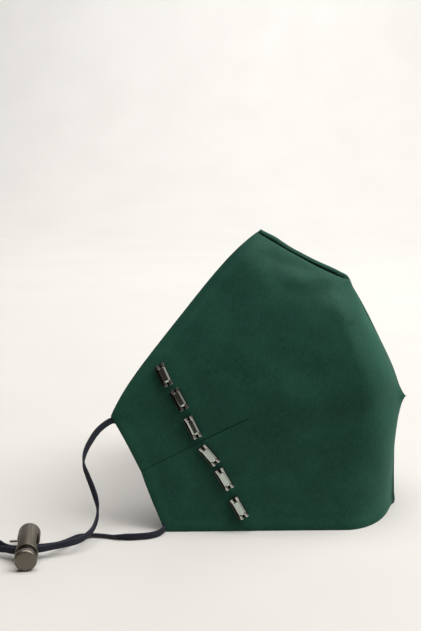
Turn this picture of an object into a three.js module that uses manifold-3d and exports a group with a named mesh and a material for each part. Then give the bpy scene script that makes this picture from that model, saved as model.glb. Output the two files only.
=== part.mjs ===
// Fitted cloth face mask with a row of claw-set stones and adjustable ear loops.
// Millimetres, +Z up. The mask stands on its lower hem at z = 0, with its nose towards +X and the wearer's
// right cheek towards -Y. The origin is the middle of the cloth body's box, on the floor.
import * as THREE from 'three';
import { mergeVertices } from 'three/addons/utils/BufferGeometryUtils.js';
import ManifoldModule from 'manifold-3d';

// Driving dimensions of the cloth body
const CLOTH = 1.8; // sewn wall: two layers of cotton sateen and their turned edges
const CHIN_X = 59; // front of the chin hem; side-view x values below are measured from here
const FIT_GAP = 0.3; // clearance between pieces that touch
const FRONT_FULLNESS = 2.2; // exponent of the rounded front, 2 being an ellipse

// Level sections of the cloth from the hem up. front: middle line ahead of the chin. nose: length of the
// rounded front. shoulder: half width where the two cheeks would meet it. flare: widening per mm back.
const SECTIONS = [
  { z: 0, front: -1.3, nose: 18.5, shoulder: 29.3, flare: 0.235 },
  { z: 20, front: -1.2, nose: 22.5, shoulder: 26.2, flare: 0.228 },
  { z: 40, front: -0.1, nose: 20, shoulder: 23.1, flare: 0.212 },
  { z: 53, front: -0.4, nose: 18, shoulder: 20, flare: 0.215 },
  { z: 66, front: -3.6, nose: 16.5, shoulder: 16.8, flare: 0.21 },
  { z: 85, front: -12.8, nose: 14, shoulder: 12.2, flare: 0.185 },
  { z: 105, front: -23.6, nose: 11, shoulder: 7.2, flare: 0.14 },
  { z: 128, front: -35.6, nose: 8.5, shoulder: 3.8, flare: 0.06 },
];

// Corners of one cheek in side view, x measured from the chin
const HEM_CORNER = { x: -95.8, z: 0 };
const EAR_CORNER = { x: -120.7, z: 49 };
const PEAK = { x: -64.4, z: 125.7 };
const NOSE_TOP_Z = 105.7;
const UPPER_EDGE_BOW = 3.7; // how far the edge from ear to peak bows out
const UPPER_EDGE_ROUNDNESS = 4; // exponent of the bow, 2 being a parabola
const NOSE_EDGE_SAG = 0.7; // how far the edge from peak to nose dips in the middle

// Darts: one at each cheek, the nose dart that ends in a point, and the ridge of the short chin dart
const CHEEK_DART = { earX: -106.8, earZ: 25.6, endX: -61.2, endZ: 49, depth: 0.45, halfWidth: 0.9 };
const CHEEK_PUFF = { x: -50, z: 53, rise: 1.2, spread: 11 };
// Crown: the cloth swells below the nose edge and rolls over towards it, less on the far, left cheek
const CROWN = { rise: 9.5, leftRise: 2.85, fullAt: 13, goneAt: 85, edgeRun: 6 };
const NOSE_POINT = { z: 52.1, reach: 4.8, spread: 6.1 };
const CHIN_RIDGE = { top: 30, reach: 2, spread: 3 };

// Mesh divisions of one cheek
const UPPER_EDGE_COLUMNS = 14;
const NOSE_EDGE_COLUMNS = 4;
const FRONT_COLUMNS = 8;
const DART_COLUMNS = 9;
const LOWER_ROWS = 8;
const UPPER_ROWS = 11;
const SETTLING_ROUNDS = 20; // repeats that settle where an edge meets the rounded front
const DART_LIP = 0.035; // share of a band's height where the cloth starts to dip into the dart

// Stones: claw-set baguettes along the right cheek. x and z place each centre, turn is its lean below level.
const STONES = [
  { x: -99.1, z: 66.2, turn: 64 },
  { x: -91.8, z: 56, turn: 61 },
  { x: -86, z: 44.7, turn: 63 },
  { x: -78.7, z: 33, turn: 48 },
  { x: -72, z: 23, turn: 59 },
  { x: -65.4, z: 10.6, turn: 59.5 },
];
const SETTING = {
  length: 9.7, width: 4.5, height: 2, wall: 0.32, floor: 0.5, corner: 0.6, pocketCorner: 0.4,
};
const CLAW = { width: 1, thick: 0.45, rise: 1.15, reach: 1.05, bend: 0.35, tipThick: 0.3 };
const STONE_GAP = 0.15;
const STONE = { corner: 0.5, girdle: 0.5, base: 1, crown: 0.9, tableInset: 0.55, culetInset: 1 };

// Elastic ear loops: a flat strap, wider than thick
const STRAP = { width: 2.9, thick: 1, corner: 0.3, step: 3 };
const STRAND_SPACING = 1.3; // centre to centre of the two strands inside a lock

// Cord lock, measured along its axis from the face of the plunger's head
const LOCK = {
  barrelRadius: 4.6, boreRadius: 3.7, barrelStart: 5.9, barrelEnd: 26.1, boreEnd: 24.7, sides: 20,
  edge: 1.2, edgeShoulder: 0.36, rim: 0.3,
  headRadius: 4.5, headThick: 2.5, neckRadius: 2.4, neckEnd: 6.2, stemRadius: 3.35, stemEnd: 14.6,
  slotStart: 8.9, slotEnd: 18.9, slotHeight: 5.4, slotCorner: 0.6,
  windowStart: 7.7, windowEnd: 12.2, windowHeight: 4.2,
  strapAt: 10.7, strapLead: 0.6, cornerSegments: 3,
};
// Domed face of the plunger's head, from its flat middle out to its rim
const HEAD_DOME = [
  { inset: 1, along: 0.1 },
  { inset: 0.2, along: 0.25 },
  { inset: 0, along: 0.5 },
];
const LOCK_WIRE = { radius: 0.35, at: 18.3, inner: -2, outer: 7.6, sides: 8 };

// Each loop's lock: where its head's face stands on the floor, and the way from head to closed end
const RIGHT_LOCK = { x: -81.1, y: -96.9, heading: 109.7 };
const LEFT_LOCK = { x: -19, y: 89.4, heading: -90 };

// Route of the right loop: from the ear corner to its lock, round the free bight, and from the lock to the
// hem corner. It comes down towards the floor and lies on edge there.
const RIGHT_FROM_EAR = [
  { x: -61.3, y: -46.1, z: 46.9 },
  { x: -66.1, y: -49, z: 43.7 },
  { x: -69.2, y: -52, z: 39.1 },
  { x: -70.9, y: -55, z: 34.4 },
  { x: -70.6, y: -57.5, z: 30.6 },
  { x: -68.1, y: -59.5, z: 26 },
  { x: -65.7, y: -60.5, z: 20.9 },
  { x: -63.7, y: -61.3, z: 14.2 },
  { x: -63.4, y: -62.6, z: 9.4 },
  { x: -63.7, y: -66.2, z: 6.4 },
  { x: -64.5, y: -71.4, z: 5.5 },
  { x: -66.7, y: -76.4, z: 5.1 },
  { x: -70.9, y: -79.9, z: 4.8 },
  { x: -75, y: -82.5, z: 4.6 },
];
const RIGHT_BIGHT = [
  { x: -93.8, y: -87.5, z: 4.3 },
  { x: -97.2, y: -86.2, z: 3.7 },
  { x: -101.6, y: -84.6, z: 3 },
  { x: -107.6, y: -83, z: 2.1 },
  { x: -113.2, y: -81, z: 1.6 },
  { x: -115.8, y: -77.6, z: 1.6 },
  { x: -113, y: -74.8, z: 1.6 },
  { x: -108.4, y: -77, z: 2.1 },
  { x: -103.2, y: -80.3, z: 3 },
  { x: -98.4, y: -82.9, z: 3.6 },
  { x: -94.3, y: -85.8, z: 3.9 },
];
const RIGHT_TO_HEM = [
  { x: -75.2, y: -79.8, z: 3.7 },
  { x: -73.2, y: -75.2, z: 2.8 },
  { x: -71.7, y: -70.2, z: 2 },
  { x: -69.6, y: -66, z: 1.6 },
  { x: -66, y: -62.8, z: 1.6 },
  { x: -61.9, y: -62, z: 1.6 },
  { x: -57.4, y: -62.1, z: 1.6 },
  { x: -53.2, y: -62.6, z: 1.6 },
  { x: -49.1, y: -62.1, z: 1.6 },
  { x: -45.3, y: -60.9, z: 1.6 },
  { x: -41.5, y: -59.2, z: 1.6 },
  { x: -38.9, y: -57, z: 1.6 },
  { x: -37.5, y: -54.2, z: 1.6 },
];
const LEFT_FROM_EAR = [
  { x: -61.3, y: 46.1, z: 46.9 },
  { x: -65.2, y: 49.4, z: 43.4 },
  { x: -66.6, y: 53, z: 38.6 },
  { x: -66, y: 56.6, z: 33 },
  { x: -64, y: 60, z: 27 },
  { x: -61, y: 63.2, z: 20.6 },
  { x: -57.4, y: 66.6, z: 14.4 },
  { x: -53.2, y: 70.4, z: 9.4 },
  { x: -47.8, y: 74.4, z: 6.4 },
  { x: -40.8, y: 77.6, z: 5.2 },
  { x: -32, y: 79.2, z: 4.7 },
];
const LEFT_BIGHT = [
  { x: -5, y: 79.8, z: 3.4 },
  { x: 5, y: 81.4, z: 2.1 },
  { x: 16, y: 82.6, z: 1.6 },
  { x: 23.6, y: 78.4, z: 1.6 },
  { x: 16, y: 74, z: 1.6 },
  { x: 5, y: 75.4, z: 2.1 },
  { x: -5, y: 77.2, z: 3.4 },
];
const LEFT_TO_HEM = [
  { x: -32.4, y: 76.6, z: 3.8 },
  { x: -37.6, y: 73.4, z: 2.6 },
  { x: -41.2, y: 68.6, z: 1.7 },
  { x: -42, y: 62.8, z: 1.6 },
  { x: -40.6, y: 58, z: 1.6 },
  { x: -37.8, y: 54.2, z: 1.6 },
];

// Finishes
const greenCotton = new THREE.MeshStandardMaterial({
  name: 'green_cotton_sateen', color: 0x1f3b2f, roughness: 0.8, metalness: 0,
});
const blackElastic = new THREE.MeshStandardMaterial({
  name: 'black_elastic', color: 0x23242b, roughness: 0.85, metalness: 0,
});
const gunmetal = new THREE.MeshStandardMaterial({
  name: 'gunmetal', color: 0x67635c, roughness: 0.4, metalness: 1,
});
const smokyGlass = new THREE.MeshStandardMaterial({
  name: 'smoky_glass', color: 0x4a4742, roughness: 0.05, metalness: 0,
});

const wasm = await ManifoldModule();
wasm.setup();

// Closed geometry helpers

function closedGeometry(positions, triangles) {
  const geometry = new THREE.BufferGeometry();
  geometry.setAttribute('position', new THREE.Float32BufferAttribute(positions, 3));
  geometry.setIndex(triangles);
  geometry.computeVertexNormals();
  return geometry;
}

function bareGeometry(geometry) {
  const bare = geometry.clone();
  for (const name of Object.keys(bare.attributes)) {
    if (name !== 'position') bare.deleteAttribute(name);
  }
  return mergeVertices(bare, 1e-4);
}

function toSolid(geometry) {
  const merged = bareGeometry(geometry);
  const corners = merged.index.array;
  const triVerts = [];
  for (let i = 0; i < corners.length; i += 3) {
    const [a, b, c] = corners.slice(i, i + 3);
    if (a !== b && b !== c && c !== a) triVerts.push(a, b, c);
  }
  return new wasm.Manifold(new wasm.Mesh({
    numProp: 3,
    vertProperties: new Float32Array(merged.attributes.position.array),
    triVerts: new Uint32Array(triVerts),
  }));
}

function fromSolid(solid) {
  const mesh = solid.getMesh();
  return closedGeometry(Array.from(mesh.vertProperties), Array.from(mesh.triVerts));
}

function namedMesh(name, geometry, material) {
  const mesh = new THREE.Mesh(geometry, material);
  mesh.name = name;
  return mesh;
}

// Cloth body

// Smooth value of one column of SECTIONS at height z.
function sectionValue(column, z) {
  const last = SECTIONS.length - 1;
  const slope = (i) => {
    const low = SECTIONS[Math.max(i - 1, 0)];
    const high = SECTIONS[Math.min(i + 1, last)];
    return (high[column] - low[column]) / (high.z - low.z);
  };
  let i = 0;
  while (i < last - 1 && z > SECTIONS[i + 1].z) i += 1;
  const span = SECTIONS[i + 1].z - SECTIONS[i].z;
  const t = (z - SECTIONS[i].z) / span;
  const rise = SECTIONS[i + 1][column] - SECTIONS[i][column];
  const bend = slope(i) * span - rise;
  const bendAfter = rise - slope(i + 1) * span;
  return SECTIONS[i][column] + t * rise + t * (1 - t) * ((1 - t) * bend + t * bendAfter);
}

const frontAt = (z) => sectionValue('front', z);

// Share of the cheek dart's dip at a side-view place: full at the ear edge, none at the dart's end.
function dartDip(x, z) {
  const { earX, earZ, endX, endZ, depth, halfWidth } = CHEEK_DART;
  const along = new THREE.Vector2(endX - earX, endZ - earZ);
  const from = new THREE.Vector2(x - earX, z - earZ);
  const share = from.dot(along) / along.lengthSq();
  const aside = Math.abs(from.cross(along)) / along.length();
  if (share > 1) return 0;
  return depth * (1 - Math.max(share, 0)) * Math.max(0, 1 - aside / halfWidth);
}

function cheekPuff(x, z) {
  const { x: puffX, z: puffZ, rise, spread } = CHEEK_PUFF;
  return rise * Math.exp(-((x - puffX) ** 2 + (z - puffZ) ** 2) / (2 * spread ** 2));
}

// Swelling below the nose edge at a side-view place. It dies out at both upper edges and down the cheek.
function crownSwell(x, z, side) {
  const { rise, leftRise, fullAt, goneAt, edgeRun } = CROWN;
  const below = (from, to) => {
    const line = new THREE.Vector2(to.x - from.x, to.z - from.z).normalize();
    return Math.max(0, new THREE.Vector2(x - from.x, z - from.z).cross(line));
  };
  const noseDrop = below(PEAK, { x: frontAt(NOSE_TOP_Z), z: NOSE_TOP_Z });
  const earDrop = below(EAR_CORNER, PEAK);
  const roll = 1 - (1 - Math.min(noseDrop / fullAt, 1)) ** 2;
  const fade = 1 - THREE.MathUtils.smoothstep(noseDrop, fullAt, goneAt);
  const full = side < 0 ? rise : leftRise;
  return full * roll * fade * THREE.MathUtils.smoothstep(earDrop + UPPER_EDGE_BOW, 0, edgeRun);
}

// Point of the outer face, "back" millimetres behind the front line at height z. side is -1 for the right
// cheek and 1 for the left.
function clothPoint(back, z, side) {
  const ahead = Math.max(0, 1 - back / sectionValue('nose', z));
  const roundness = (1 - ahead ** FRONT_FULLNESS) ** (1 / FRONT_FULLNESS);
  const x = frontAt(z) - back;
  let half = (sectionValue('shoulder', z) + sectionValue('flare', z) * back) * roundness;
  half += roundness * (cheekPuff(x, z) + crownSwell(x, z, side) - dartDip(x, z));
  const fromPoint = Math.hypot(half, z - NOSE_POINT.z);
  const point = NOSE_POINT.reach * Math.exp(-fromPoint / NOSE_POINT.spread);
  const ridgeShare = 1 - THREE.MathUtils.smoothstep(z, 0, CHIN_RIDGE.top);
  const ridge = CHIN_RIDGE.reach * ridgeShare * Math.exp(-half / CHIN_RIDGE.spread);
  return new THREE.Vector3(CHIN_X + x + point + ridge, side * half, z);
}

// A course of the cloth, from the ear edge to the front, as places { back, z }. sidePlace gives the side-view
// point { x, z } of each side column, noseStart is where the rounded front begins and frontZ where it ends.
function course(sidePlace, noseStart, frontZ) {
  const sideColumns = UPPER_EDGE_COLUMNS + NOSE_EDGE_COLUMNS;
  const places = [];
  for (let i = 0; i < sideColumns; i += 1) {
    const { x, z } = sidePlace(i);
    places.push({ back: frontAt(z) - x, z });
  }
  for (let i = 0; i <= FRONT_COLUMNS; i += 1) {
    const turn = (Math.PI / 2) * (1 - i / FRONT_COLUMNS);
    const back = noseStart.back * (1 - Math.cos(turn) ** (2 / FRONT_FULLNESS));
    places.push({ back, z: frontZ + (noseStart.z - frontZ) * (back / noseStart.back) });
  }
  return places;
}

function between(from, to, share) {
  return { x: from.x + (to.x - from.x) * share, z: from.z + (to.z - from.z) * share };
}

// Place on a front edge that runs straight from a side-view corner to the front line at frontZ.
function noseStartOn(corner, frontZ) {
  const cornerBack = frontAt(corner.z) - corner.x;
  let z = frontZ;
  for (let round = 0; round < SETTLING_ROUNDS; round += 1) {
    z = frontZ + (corner.z - frontZ) * (sectionValue('nose', z) / cornerBack);
  }
  return { back: sectionValue('nose', z), z };
}

function hemCourse() {
  const columns = UPPER_EDGE_COLUMNS + NOSE_EDGE_COLUMNS;
  const start = noseStartOn(HEM_CORNER, 0);
  const end = { x: frontAt(0) - start.back, z: 0 };
  return course((i) => between(HEM_CORNER, end, i / columns), start, 0);
}

// The course along the cheek dart and on to the point of the nose dart.
function dartCourse() {
  const ear = { x: CHEEK_DART.earX, z: CHEEK_DART.earZ };
  const dartEnd = { x: CHEEK_DART.endX, z: CHEEK_DART.endZ };
  const start = noseStartOn(dartEnd, NOSE_POINT.z);
  const end = { x: frontAt(start.z) - start.back, z: start.z };
  const restColumns = UPPER_EDGE_COLUMNS + NOSE_EDGE_COLUMNS - DART_COLUMNS;
  const place = (i) => (i <= DART_COLUMNS
    ? between(ear, dartEnd, i / DART_COLUMNS)
    : between(dartEnd, end, (i - DART_COLUMNS) / restColumns));
  return course(place, start, NOSE_POINT.z);
}

// The nose edge lowered square to its own line, most in the middle between the peak and the top of the nose.
function sagged({ back, z }) {
  const line = new THREE.Vector2(frontAt(NOSE_TOP_Z) - PEAK.x, NOSE_TOP_Z - PEAK.z);
  const from = new THREE.Vector2(frontAt(z) - back - PEAK.x, z - PEAK.z);
  const share = THREE.MathUtils.clamp(from.dot(line) / line.lengthSq(), 0, 1);
  const sag = 4 * share * (1 - share) * NOSE_EDGE_SAG;
  const down = new THREE.Vector2(line.y, -line.x).normalize().multiplyScalar(sag);
  return { back: frontAt(z + down.y) - frontAt(z) + back - down.x, z: z + down.y };
}

// The upper edge: bowed from the ear corner to the peak, then along the nose edge to the top of the nose.
function topCourse() {
  const chord = new THREE.Vector2(PEAK.x - EAR_CORNER.x, PEAK.z - EAR_CORNER.z);
  const outward = new THREE.Vector2(-chord.y, chord.x).normalize();
  const start = noseStartOn(PEAK, NOSE_TOP_Z);
  const end = { x: frontAt(start.z) - start.back, z: start.z };
  const place = (i) => {
    if (i > UPPER_EDGE_COLUMNS) return between(PEAK, end, (i - UPPER_EDGE_COLUMNS) / NOSE_EDGE_COLUMNS);
    const share = i / UPPER_EDGE_COLUMNS;
    const bow = UPPER_EDGE_BOW * (1 - Math.abs(2 * share - 1) ** UPPER_EDGE_ROUNDNESS);
    const { x, z } = between(EAR_CORNER, PEAK, share);
    return { x: x + bow * outward.x, z: z + bow * outward.y };
  };
  return course(place, start, NOSE_TOP_Z).map(sagged);
}

function blendCourses(low, high, share) {
  return low.map(({ back, z }, i) => ({
    back: back + (high[i].back - back) * share,
    z: z + (high[i].z - z) * share,
  }));
}

// All courses from the hem up, with two close ones beside the dart.
function cheekCourses() {
  const [hem, dart, top] = [hemCourse(), dartCourse(), topCourse()];
  const courses = [];
  for (let row = 0; row < LOWER_ROWS; row += 1) courses.push(blendCourses(hem, dart, row / LOWER_ROWS));
  courses.push(blendCourses(hem, dart, 1 - DART_LIP));
  courses.push(dart);
  courses.push(blendCourses(dart, top, DART_LIP));
  for (let row = 1; row <= UPPER_ROWS; row += 1) courses.push(blendCourses(dart, top, row / UPPER_ROWS));
  return courses;
}

// Rows of outer points right round the mask, from the right ear edge over the front to the left ear edge.
function outerRows() {
  return cheekCourses().map((places) => {
    const right = places.map(({ back, z }) => clothPoint(back, z, -1));
    const left = places.slice(0, -1).reverse().map(({ back, z }) => clothPoint(back, z, 1));
    return [...right, ...left];
  });
}

// Inner face: the outer points moved in by the wall, with the hem kept level on the floor.
function innerRows(outer) {
  const lastRow = outer.length - 1;
  const lastColumn = outer[0].length - 1;
  return outer.map((row, r) => row.map((point, c) => {
    const across = row[Math.min(c + 1, lastColumn)].clone().sub(row[Math.max(c - 1, 0)]);
    const up = outer[Math.min(r + 1, lastRow)][c].clone().sub(outer[Math.max(r - 1, 0)][c]);
    const normal = across.cross(up);
    if (r === 0) normal.z = 0;
    return point.clone().addScaledVector(normal.normalize(), -CLOTH);
  }));
}

function shellGeometry() {
  const outer = outerRows();
  const inner = innerRows(outer);
  const rows = outer.length;
  const columns = outer[0].length;
  const positions = [...outer.flat(), ...inner.flat()].flatMap((p) => p.toArray());
  const outside = (r, c) => r * columns + c;
  const inside = (r, c) => rows * columns + r * columns + c;
  const triangles = [];
  const quad = (a, b, c, d) => triangles.push(a, b, c, a, c, d);
  for (let r = 0; r + 1 < rows; r += 1) {
    for (let c = 0; c + 1 < columns; c += 1) {
      quad(outside(r, c), outside(r, c + 1), outside(r + 1, c + 1), outside(r + 1, c));
      quad(inside(r, c), inside(r + 1, c), inside(r + 1, c + 1), inside(r, c + 1));
    }
  }
  const top = rows - 1;
  const end = columns - 1;
  for (let c = 0; c < end; c += 1) {
    quad(outside(0, c), inside(0, c), inside(0, c + 1), outside(0, c + 1));
    quad(outside(top, c), outside(top, c + 1), inside(top, c + 1), inside(top, c));
  }
  for (let r = 0; r < top; r += 1) {
    quad(outside(r, 0), outside(r + 1, 0), inside(r + 1, 0), inside(r, 0));
    quad(outside(r, end), inside(r, end), inside(r + 1, end), outside(r + 1, end));
  }
  return closedGeometry(positions, triangles);
}

// Stones and settings, lying flat with their long side along X and their back at z = 0

function cutCornerPoints(length, width, corner) {
  const [l, w] = [length / 2, width / 2];
  return [
    new THREE.Vector2(l, -w + corner), new THREE.Vector2(l, w - corner),
    new THREE.Vector2(l - corner, w), new THREE.Vector2(-l + corner, w),
    new THREE.Vector2(-l, w - corner), new THREE.Vector2(-l, -w + corner),
    new THREE.Vector2(-l + corner, -w), new THREE.Vector2(l - corner, -w),
  ];
}

function cutCornerShape(length, width, corner) {
  return new THREE.Shape(cutCornerPoints(length, width, corner));
}

function extruded(shape, depth, startZ) {
  return new THREE.ExtrudeGeometry(shape, { depth, bevelEnabled: false }).translate(0, 0, startZ);
}

const stoneLength = SETTING.length - 2 * (SETTING.wall + STONE_GAP);
const stoneWidth = SETTING.width - 2 * (SETTING.wall + STONE_GAP);
const girdleStart = SETTING.floor + STONE_GAP + STONE.base;
const tableZ = girdleStart + STONE.girdle + STONE.crown;

// Step-cut stone: culet, sloping pavilion, girdle, sloping crown and flat table, eight sides to each step.
function stoneGeometry() {
  const steps = [
    { z: girdleStart - STONE.base, inset: STONE.culetInset },
    { z: girdleStart, inset: 0 },
    { z: girdleStart + STONE.girdle, inset: 0 },
    { z: tableZ, inset: STONE.tableInset },
  ];
  const rings = steps.map(({ z, inset }) => {
    const outline = cutCornerPoints(stoneLength - 2 * inset, stoneWidth - 2 * inset, STONE.corner);
    return outline.map((p) => new THREE.Vector3(p.x, p.y, z));
  });
  const sides = rings[0].length;
  const positions = rings.flat().flatMap((p) => p.toArray());
  const triangles = [];
  for (let ring = 0; ring + 1 < rings.length; ring += 1) {
    for (let i = 0; i < sides; i += 1) {
      const next = (i + 1) % sides;
      const [a, b] = [ring * sides + i, ring * sides + next];
      triangles.push(a, b, b + sides, a, b + sides, a + sides);
    }
  }
  const tableStart = (rings.length - 1) * sides;
  for (let i = 1; i + 1 < sides; i += 1) {
    triangles.push(0, i + 1, i);
    triangles.push(tableStart, tableStart + i, tableStart + i + 1);
  }
  return closedGeometry(positions, triangles);
}

// One claw: it rises outside the cup's end wall and folds over the stone's crown.
function clawGeometry(end, side) {
  const outer = SETTING.length / 2 + CLAW.thick - SETTING.wall;
  const inner = SETTING.length / 2 - SETTING.wall / 2;
  const top = SETTING.height + CLAW.rise;
  const tip = SETTING.length / 2 - CLAW.reach;
  const crownRoof = tableZ + STONE_GAP;
  const profile = new THREE.Shape([
    new THREE.Vector2(inner, SETTING.floor), new THREE.Vector2(outer, SETTING.floor),
    new THREE.Vector2(outer, top - CLAW.bend), new THREE.Vector2(outer - CLAW.bend, top),
    new THREE.Vector2(tip, crownRoof + CLAW.tipThick), new THREE.Vector2(tip, crownRoof),
    new THREE.Vector2(inner, crownRoof - CLAW.bend),
  ]);
  const claw = new THREE.ExtrudeGeometry(profile, { depth: CLAW.width, bevelEnabled: false });
  claw.translate(0, 0, -CLAW.width / 2).rotateX(Math.PI / 2);
  if (end < 0) claw.rotateZ(Math.PI);
  return claw.translate(0, side * (SETTING.width / 2 - CLAW.width / 2), 0);
}

function settingGeometry() {
  const pocket = { length: stoneLength + 2 * STONE_GAP, width: stoneWidth + 2 * STONE_GAP };
  const cup = extruded(cutCornerShape(SETTING.length, SETTING.width, SETTING.corner), SETTING.height, 0);
  const pocketShape = cutCornerShape(pocket.length, pocket.width, SETTING.pocketCorner);
  const hollow = extruded(pocketShape, SETTING.height, SETTING.floor);
  let solid = toSolid(cup).subtract(toSolid(hollow));
  for (const end of [-1, 1]) {
    for (const side of [-1, 1]) solid = solid.add(toSolid(clawGeometry(end, side)));
  }
  return fromSolid(solid);
}

// Turned and placed group that carries one setting and its stone on the right cheek.
function seatOnCheek({ x, z, turn }) {
  const span = 1;
  const place = (dx, dz) => clothPoint(frontAt(z + dz) - x - dx, z + dz, -1);
  const normal = place(span, 0).sub(place(-span, 0)).cross(place(0, span).sub(place(0, -span))).normalize();
  const lean = THREE.MathUtils.degToRad(turn);
  const long = new THREE.Vector3(Math.cos(lean), 0, -Math.sin(lean)).projectOnPlane(normal).normalize();
  const broad = new THREE.Vector3().crossVectors(normal, long);
  const seat = new THREE.Group();
  seat.position.copy(place(0, 0)).addScaledVector(normal, FIT_GAP);
  seat.quaternion.setFromRotationMatrix(new THREE.Matrix4().makeBasis(long, broad, normal));
  return seat;
}

// Cord locks, with the axis along X, the head's face at x = 0 and the barrel resting on z = 0

const lockAxisZ = LOCK.barrelRadius * Math.cos(Math.PI / LOCK.sides);

function turned(profile) {
  const points = profile.map(([radius, along]) => new THREE.Vector2(radius, along));
  const lathe = new THREE.LatheGeometry(points, LOCK.sides, Math.PI / LOCK.sides);
  return lathe.rotateZ(-Math.PI / 2).translate(0, 0, lockAxisZ);
}

// Bar with rounded corners across the lock, for cutting the slot and the window.
function crossBar(start, end, height) {
  const [top, corner] = [height / 2, LOCK.slotCorner];
  const shape = new THREE.Shape();
  shape.moveTo(start + corner, -top);
  shape.absarc(end - corner, corner - top, corner, -Math.PI / 2, 0);
  shape.absarc(end - corner, top - corner, corner, 0, Math.PI / 2);
  shape.absarc(start + corner, top - corner, corner, Math.PI / 2, Math.PI);
  shape.absarc(start + corner, corner - top, corner, Math.PI, 1.5 * Math.PI);
  const length = 4 * LOCK.barrelRadius;
  const bar = new THREE.ExtrudeGeometry(shape, {
    depth: length, bevelEnabled: false, curveSegments: LOCK.cornerSegments,
  });
  return bar.translate(0, 0, -length / 2).rotateX(Math.PI / 2).translate(0, 0, lockAxisZ);
}

function barrelGeometry() {
  const { barrelRadius, boreRadius, barrelStart, barrelEnd, boreEnd, edge, edgeShoulder, rim } = LOCK;
  const body = turned([
    [0, boreEnd], [boreRadius, boreEnd], [boreRadius, barrelStart],
    [barrelRadius - rim, barrelStart], [barrelRadius, barrelStart + rim], [barrelRadius, barrelEnd - edge],
    [barrelRadius - edgeShoulder, barrelEnd - edgeShoulder], [barrelRadius - edge, barrelEnd], [0, barrelEnd],
  ]);
  return fromSolid(toSolid(body).subtract(toSolid(crossBar(LOCK.slotStart, LOCK.slotEnd, LOCK.slotHeight))));
}

function plungerGeometry() {
  const { headRadius, headThick, neckRadius, neckEnd, stemRadius, stemEnd } = LOCK;
  const body = turned([
    [0, 0], ...HEAD_DOME.map(({ inset, along }) => [headRadius - inset, along]),
    [headRadius, headThick], [neckRadius, headThick], [neckRadius, neckEnd], [stemRadius, neckEnd],
    [stemRadius, stemEnd], [0, stemEnd],
  ]);
  const window = crossBar(LOCK.windowStart, LOCK.windowEnd, LOCK.windowHeight);
  return fromSolid(toSolid(body).subtract(toSolid(window)));
}

function lockWireGeometry() {
  const length = LOCK_WIRE.outer - LOCK_WIRE.inner;
  const wire = new THREE.CylinderGeometry(LOCK_WIRE.radius, LOCK_WIRE.radius, length, LOCK_WIRE.sides);
  return wire.translate(LOCK_WIRE.at, LOCK_WIRE.inner + length / 2, lockAxisZ);
}

function lockGroup(pose) {
  const group = new THREE.Group();
  group.position.set(pose.x, pose.y, 0);
  group.rotation.z = THREE.MathUtils.degToRad(pose.heading);
  return group;
}

// Places of one strand on both sides of a lock: shift is its place along the axis, way +1 along the lock's Y.
function strandThrough(pose, shift, way) {
  const group = lockGroup(pose);
  group.updateMatrix();
  const aside = LOCK.barrelRadius + LOCK.strapLead;
  return [-way * aside, 0, way * aside].map((y) => (
    new THREE.Vector3(LOCK.strapAt + shift, y, lockAxisZ).applyMatrix4(group.matrix)
  ));
}

// Ear loops

// Strap route whose flat faces stay upright, so the strap lies on edge and turns as it bends.
class StrapPath extends THREE.CatmullRomCurve3 {
  computeFrenetFrames(steps) {
    const up = new THREE.Vector3(0, 0, 1);
    const frames = { tangents: [], normals: [], binormals: [] };
    for (let i = 0; i <= steps; i += 1) {
      const tangent = this.getTangentAt(i / steps);
      const normal = new THREE.Vector3().crossVectors(tangent, up).normalize();
      frames.tangents.push(tangent);
      frames.normals.push(normal);
      frames.binormals.push(new THREE.Vector3().crossVectors(tangent, normal));
    }
    return frames;
  }
}

function strapRoute(fromEar, bight, toHem, pose, way) {
  const points = (rows) => rows.map(({ x, y, z }) => new THREE.Vector3(x, y, z));
  const half = STRAND_SPACING / 2;
  return new StrapPath([
    ...points(fromEar), ...strandThrough(pose, -half, way),
    ...points(bight), ...strandThrough(pose, half, -way), ...points(toHem),
  ], false, 'centripetal');
}

function strapGeometry(route) {
  const section = cutCornerShape(STRAP.thick, STRAP.width, STRAP.corner);
  const steps = Math.round(route.getLength() / STRAP.step);
  return new THREE.ExtrudeGeometry(section, { steps, extrudePath: route, bevelEnabled: false });
}

// Assembly

function buildMask() {
  const mask = new THREE.Group();
  mask.name = 'cloth_face_mask';
  mask.add(namedMesh('mask_shell', shellGeometry(), greenCotton));

  STONES.forEach((place, i) => {
    const seat = seatOnCheek(place);
    seat.add(namedMesh(`setting_${i + 1}`, settingGeometry(), gunmetal));
    seat.add(namedMesh(`stone_${i + 1}`, stoneGeometry(), smokyGlass));
    mask.add(seat);
  });

  const rightLock = lockGroup(RIGHT_LOCK);
  rightLock.add(namedMesh('right_lock_barrel', barrelGeometry(), gunmetal));
  rightLock.add(namedMesh('right_lock_plunger', plungerGeometry(), gunmetal));
  rightLock.add(namedMesh('right_lock_wire', lockWireGeometry(), gunmetal));
  const leftLock = lockGroup(LEFT_LOCK);
  leftLock.add(namedMesh('left_lock_barrel', barrelGeometry(), gunmetal));
  leftLock.add(namedMesh('left_lock_plunger', plungerGeometry(), gunmetal));
  mask.add(rightLock, leftLock);

  const rightRoute = strapRoute(RIGHT_FROM_EAR, RIGHT_BIGHT, RIGHT_TO_HEM, RIGHT_LOCK, 1);
  const leftRoute = strapRoute(LEFT_FROM_EAR, LEFT_BIGHT, LEFT_TO_HEM, LEFT_LOCK, 1);
  mask.add(namedMesh('right_ear_loop', strapGeometry(rightRoute), blackElastic));
  mask.add(namedMesh('left_ear_loop', strapGeometry(leftRoute), blackElastic));
  return mask;
}

export default buildMask();
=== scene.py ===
"""Dark green cloth face mask with a row of claw-set stones and adjustable ear loops, dressed over its frame.

The mask stands on its lower hem at z = 0, with its nose towards +X and the wearer's right cheek towards -Y.
Sizes and places are millimetres, and a mesh turns to metres when it is finished.
"""
import logging
import math
from dataclasses import dataclass
from enum import Enum
from typing import Callable

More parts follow.
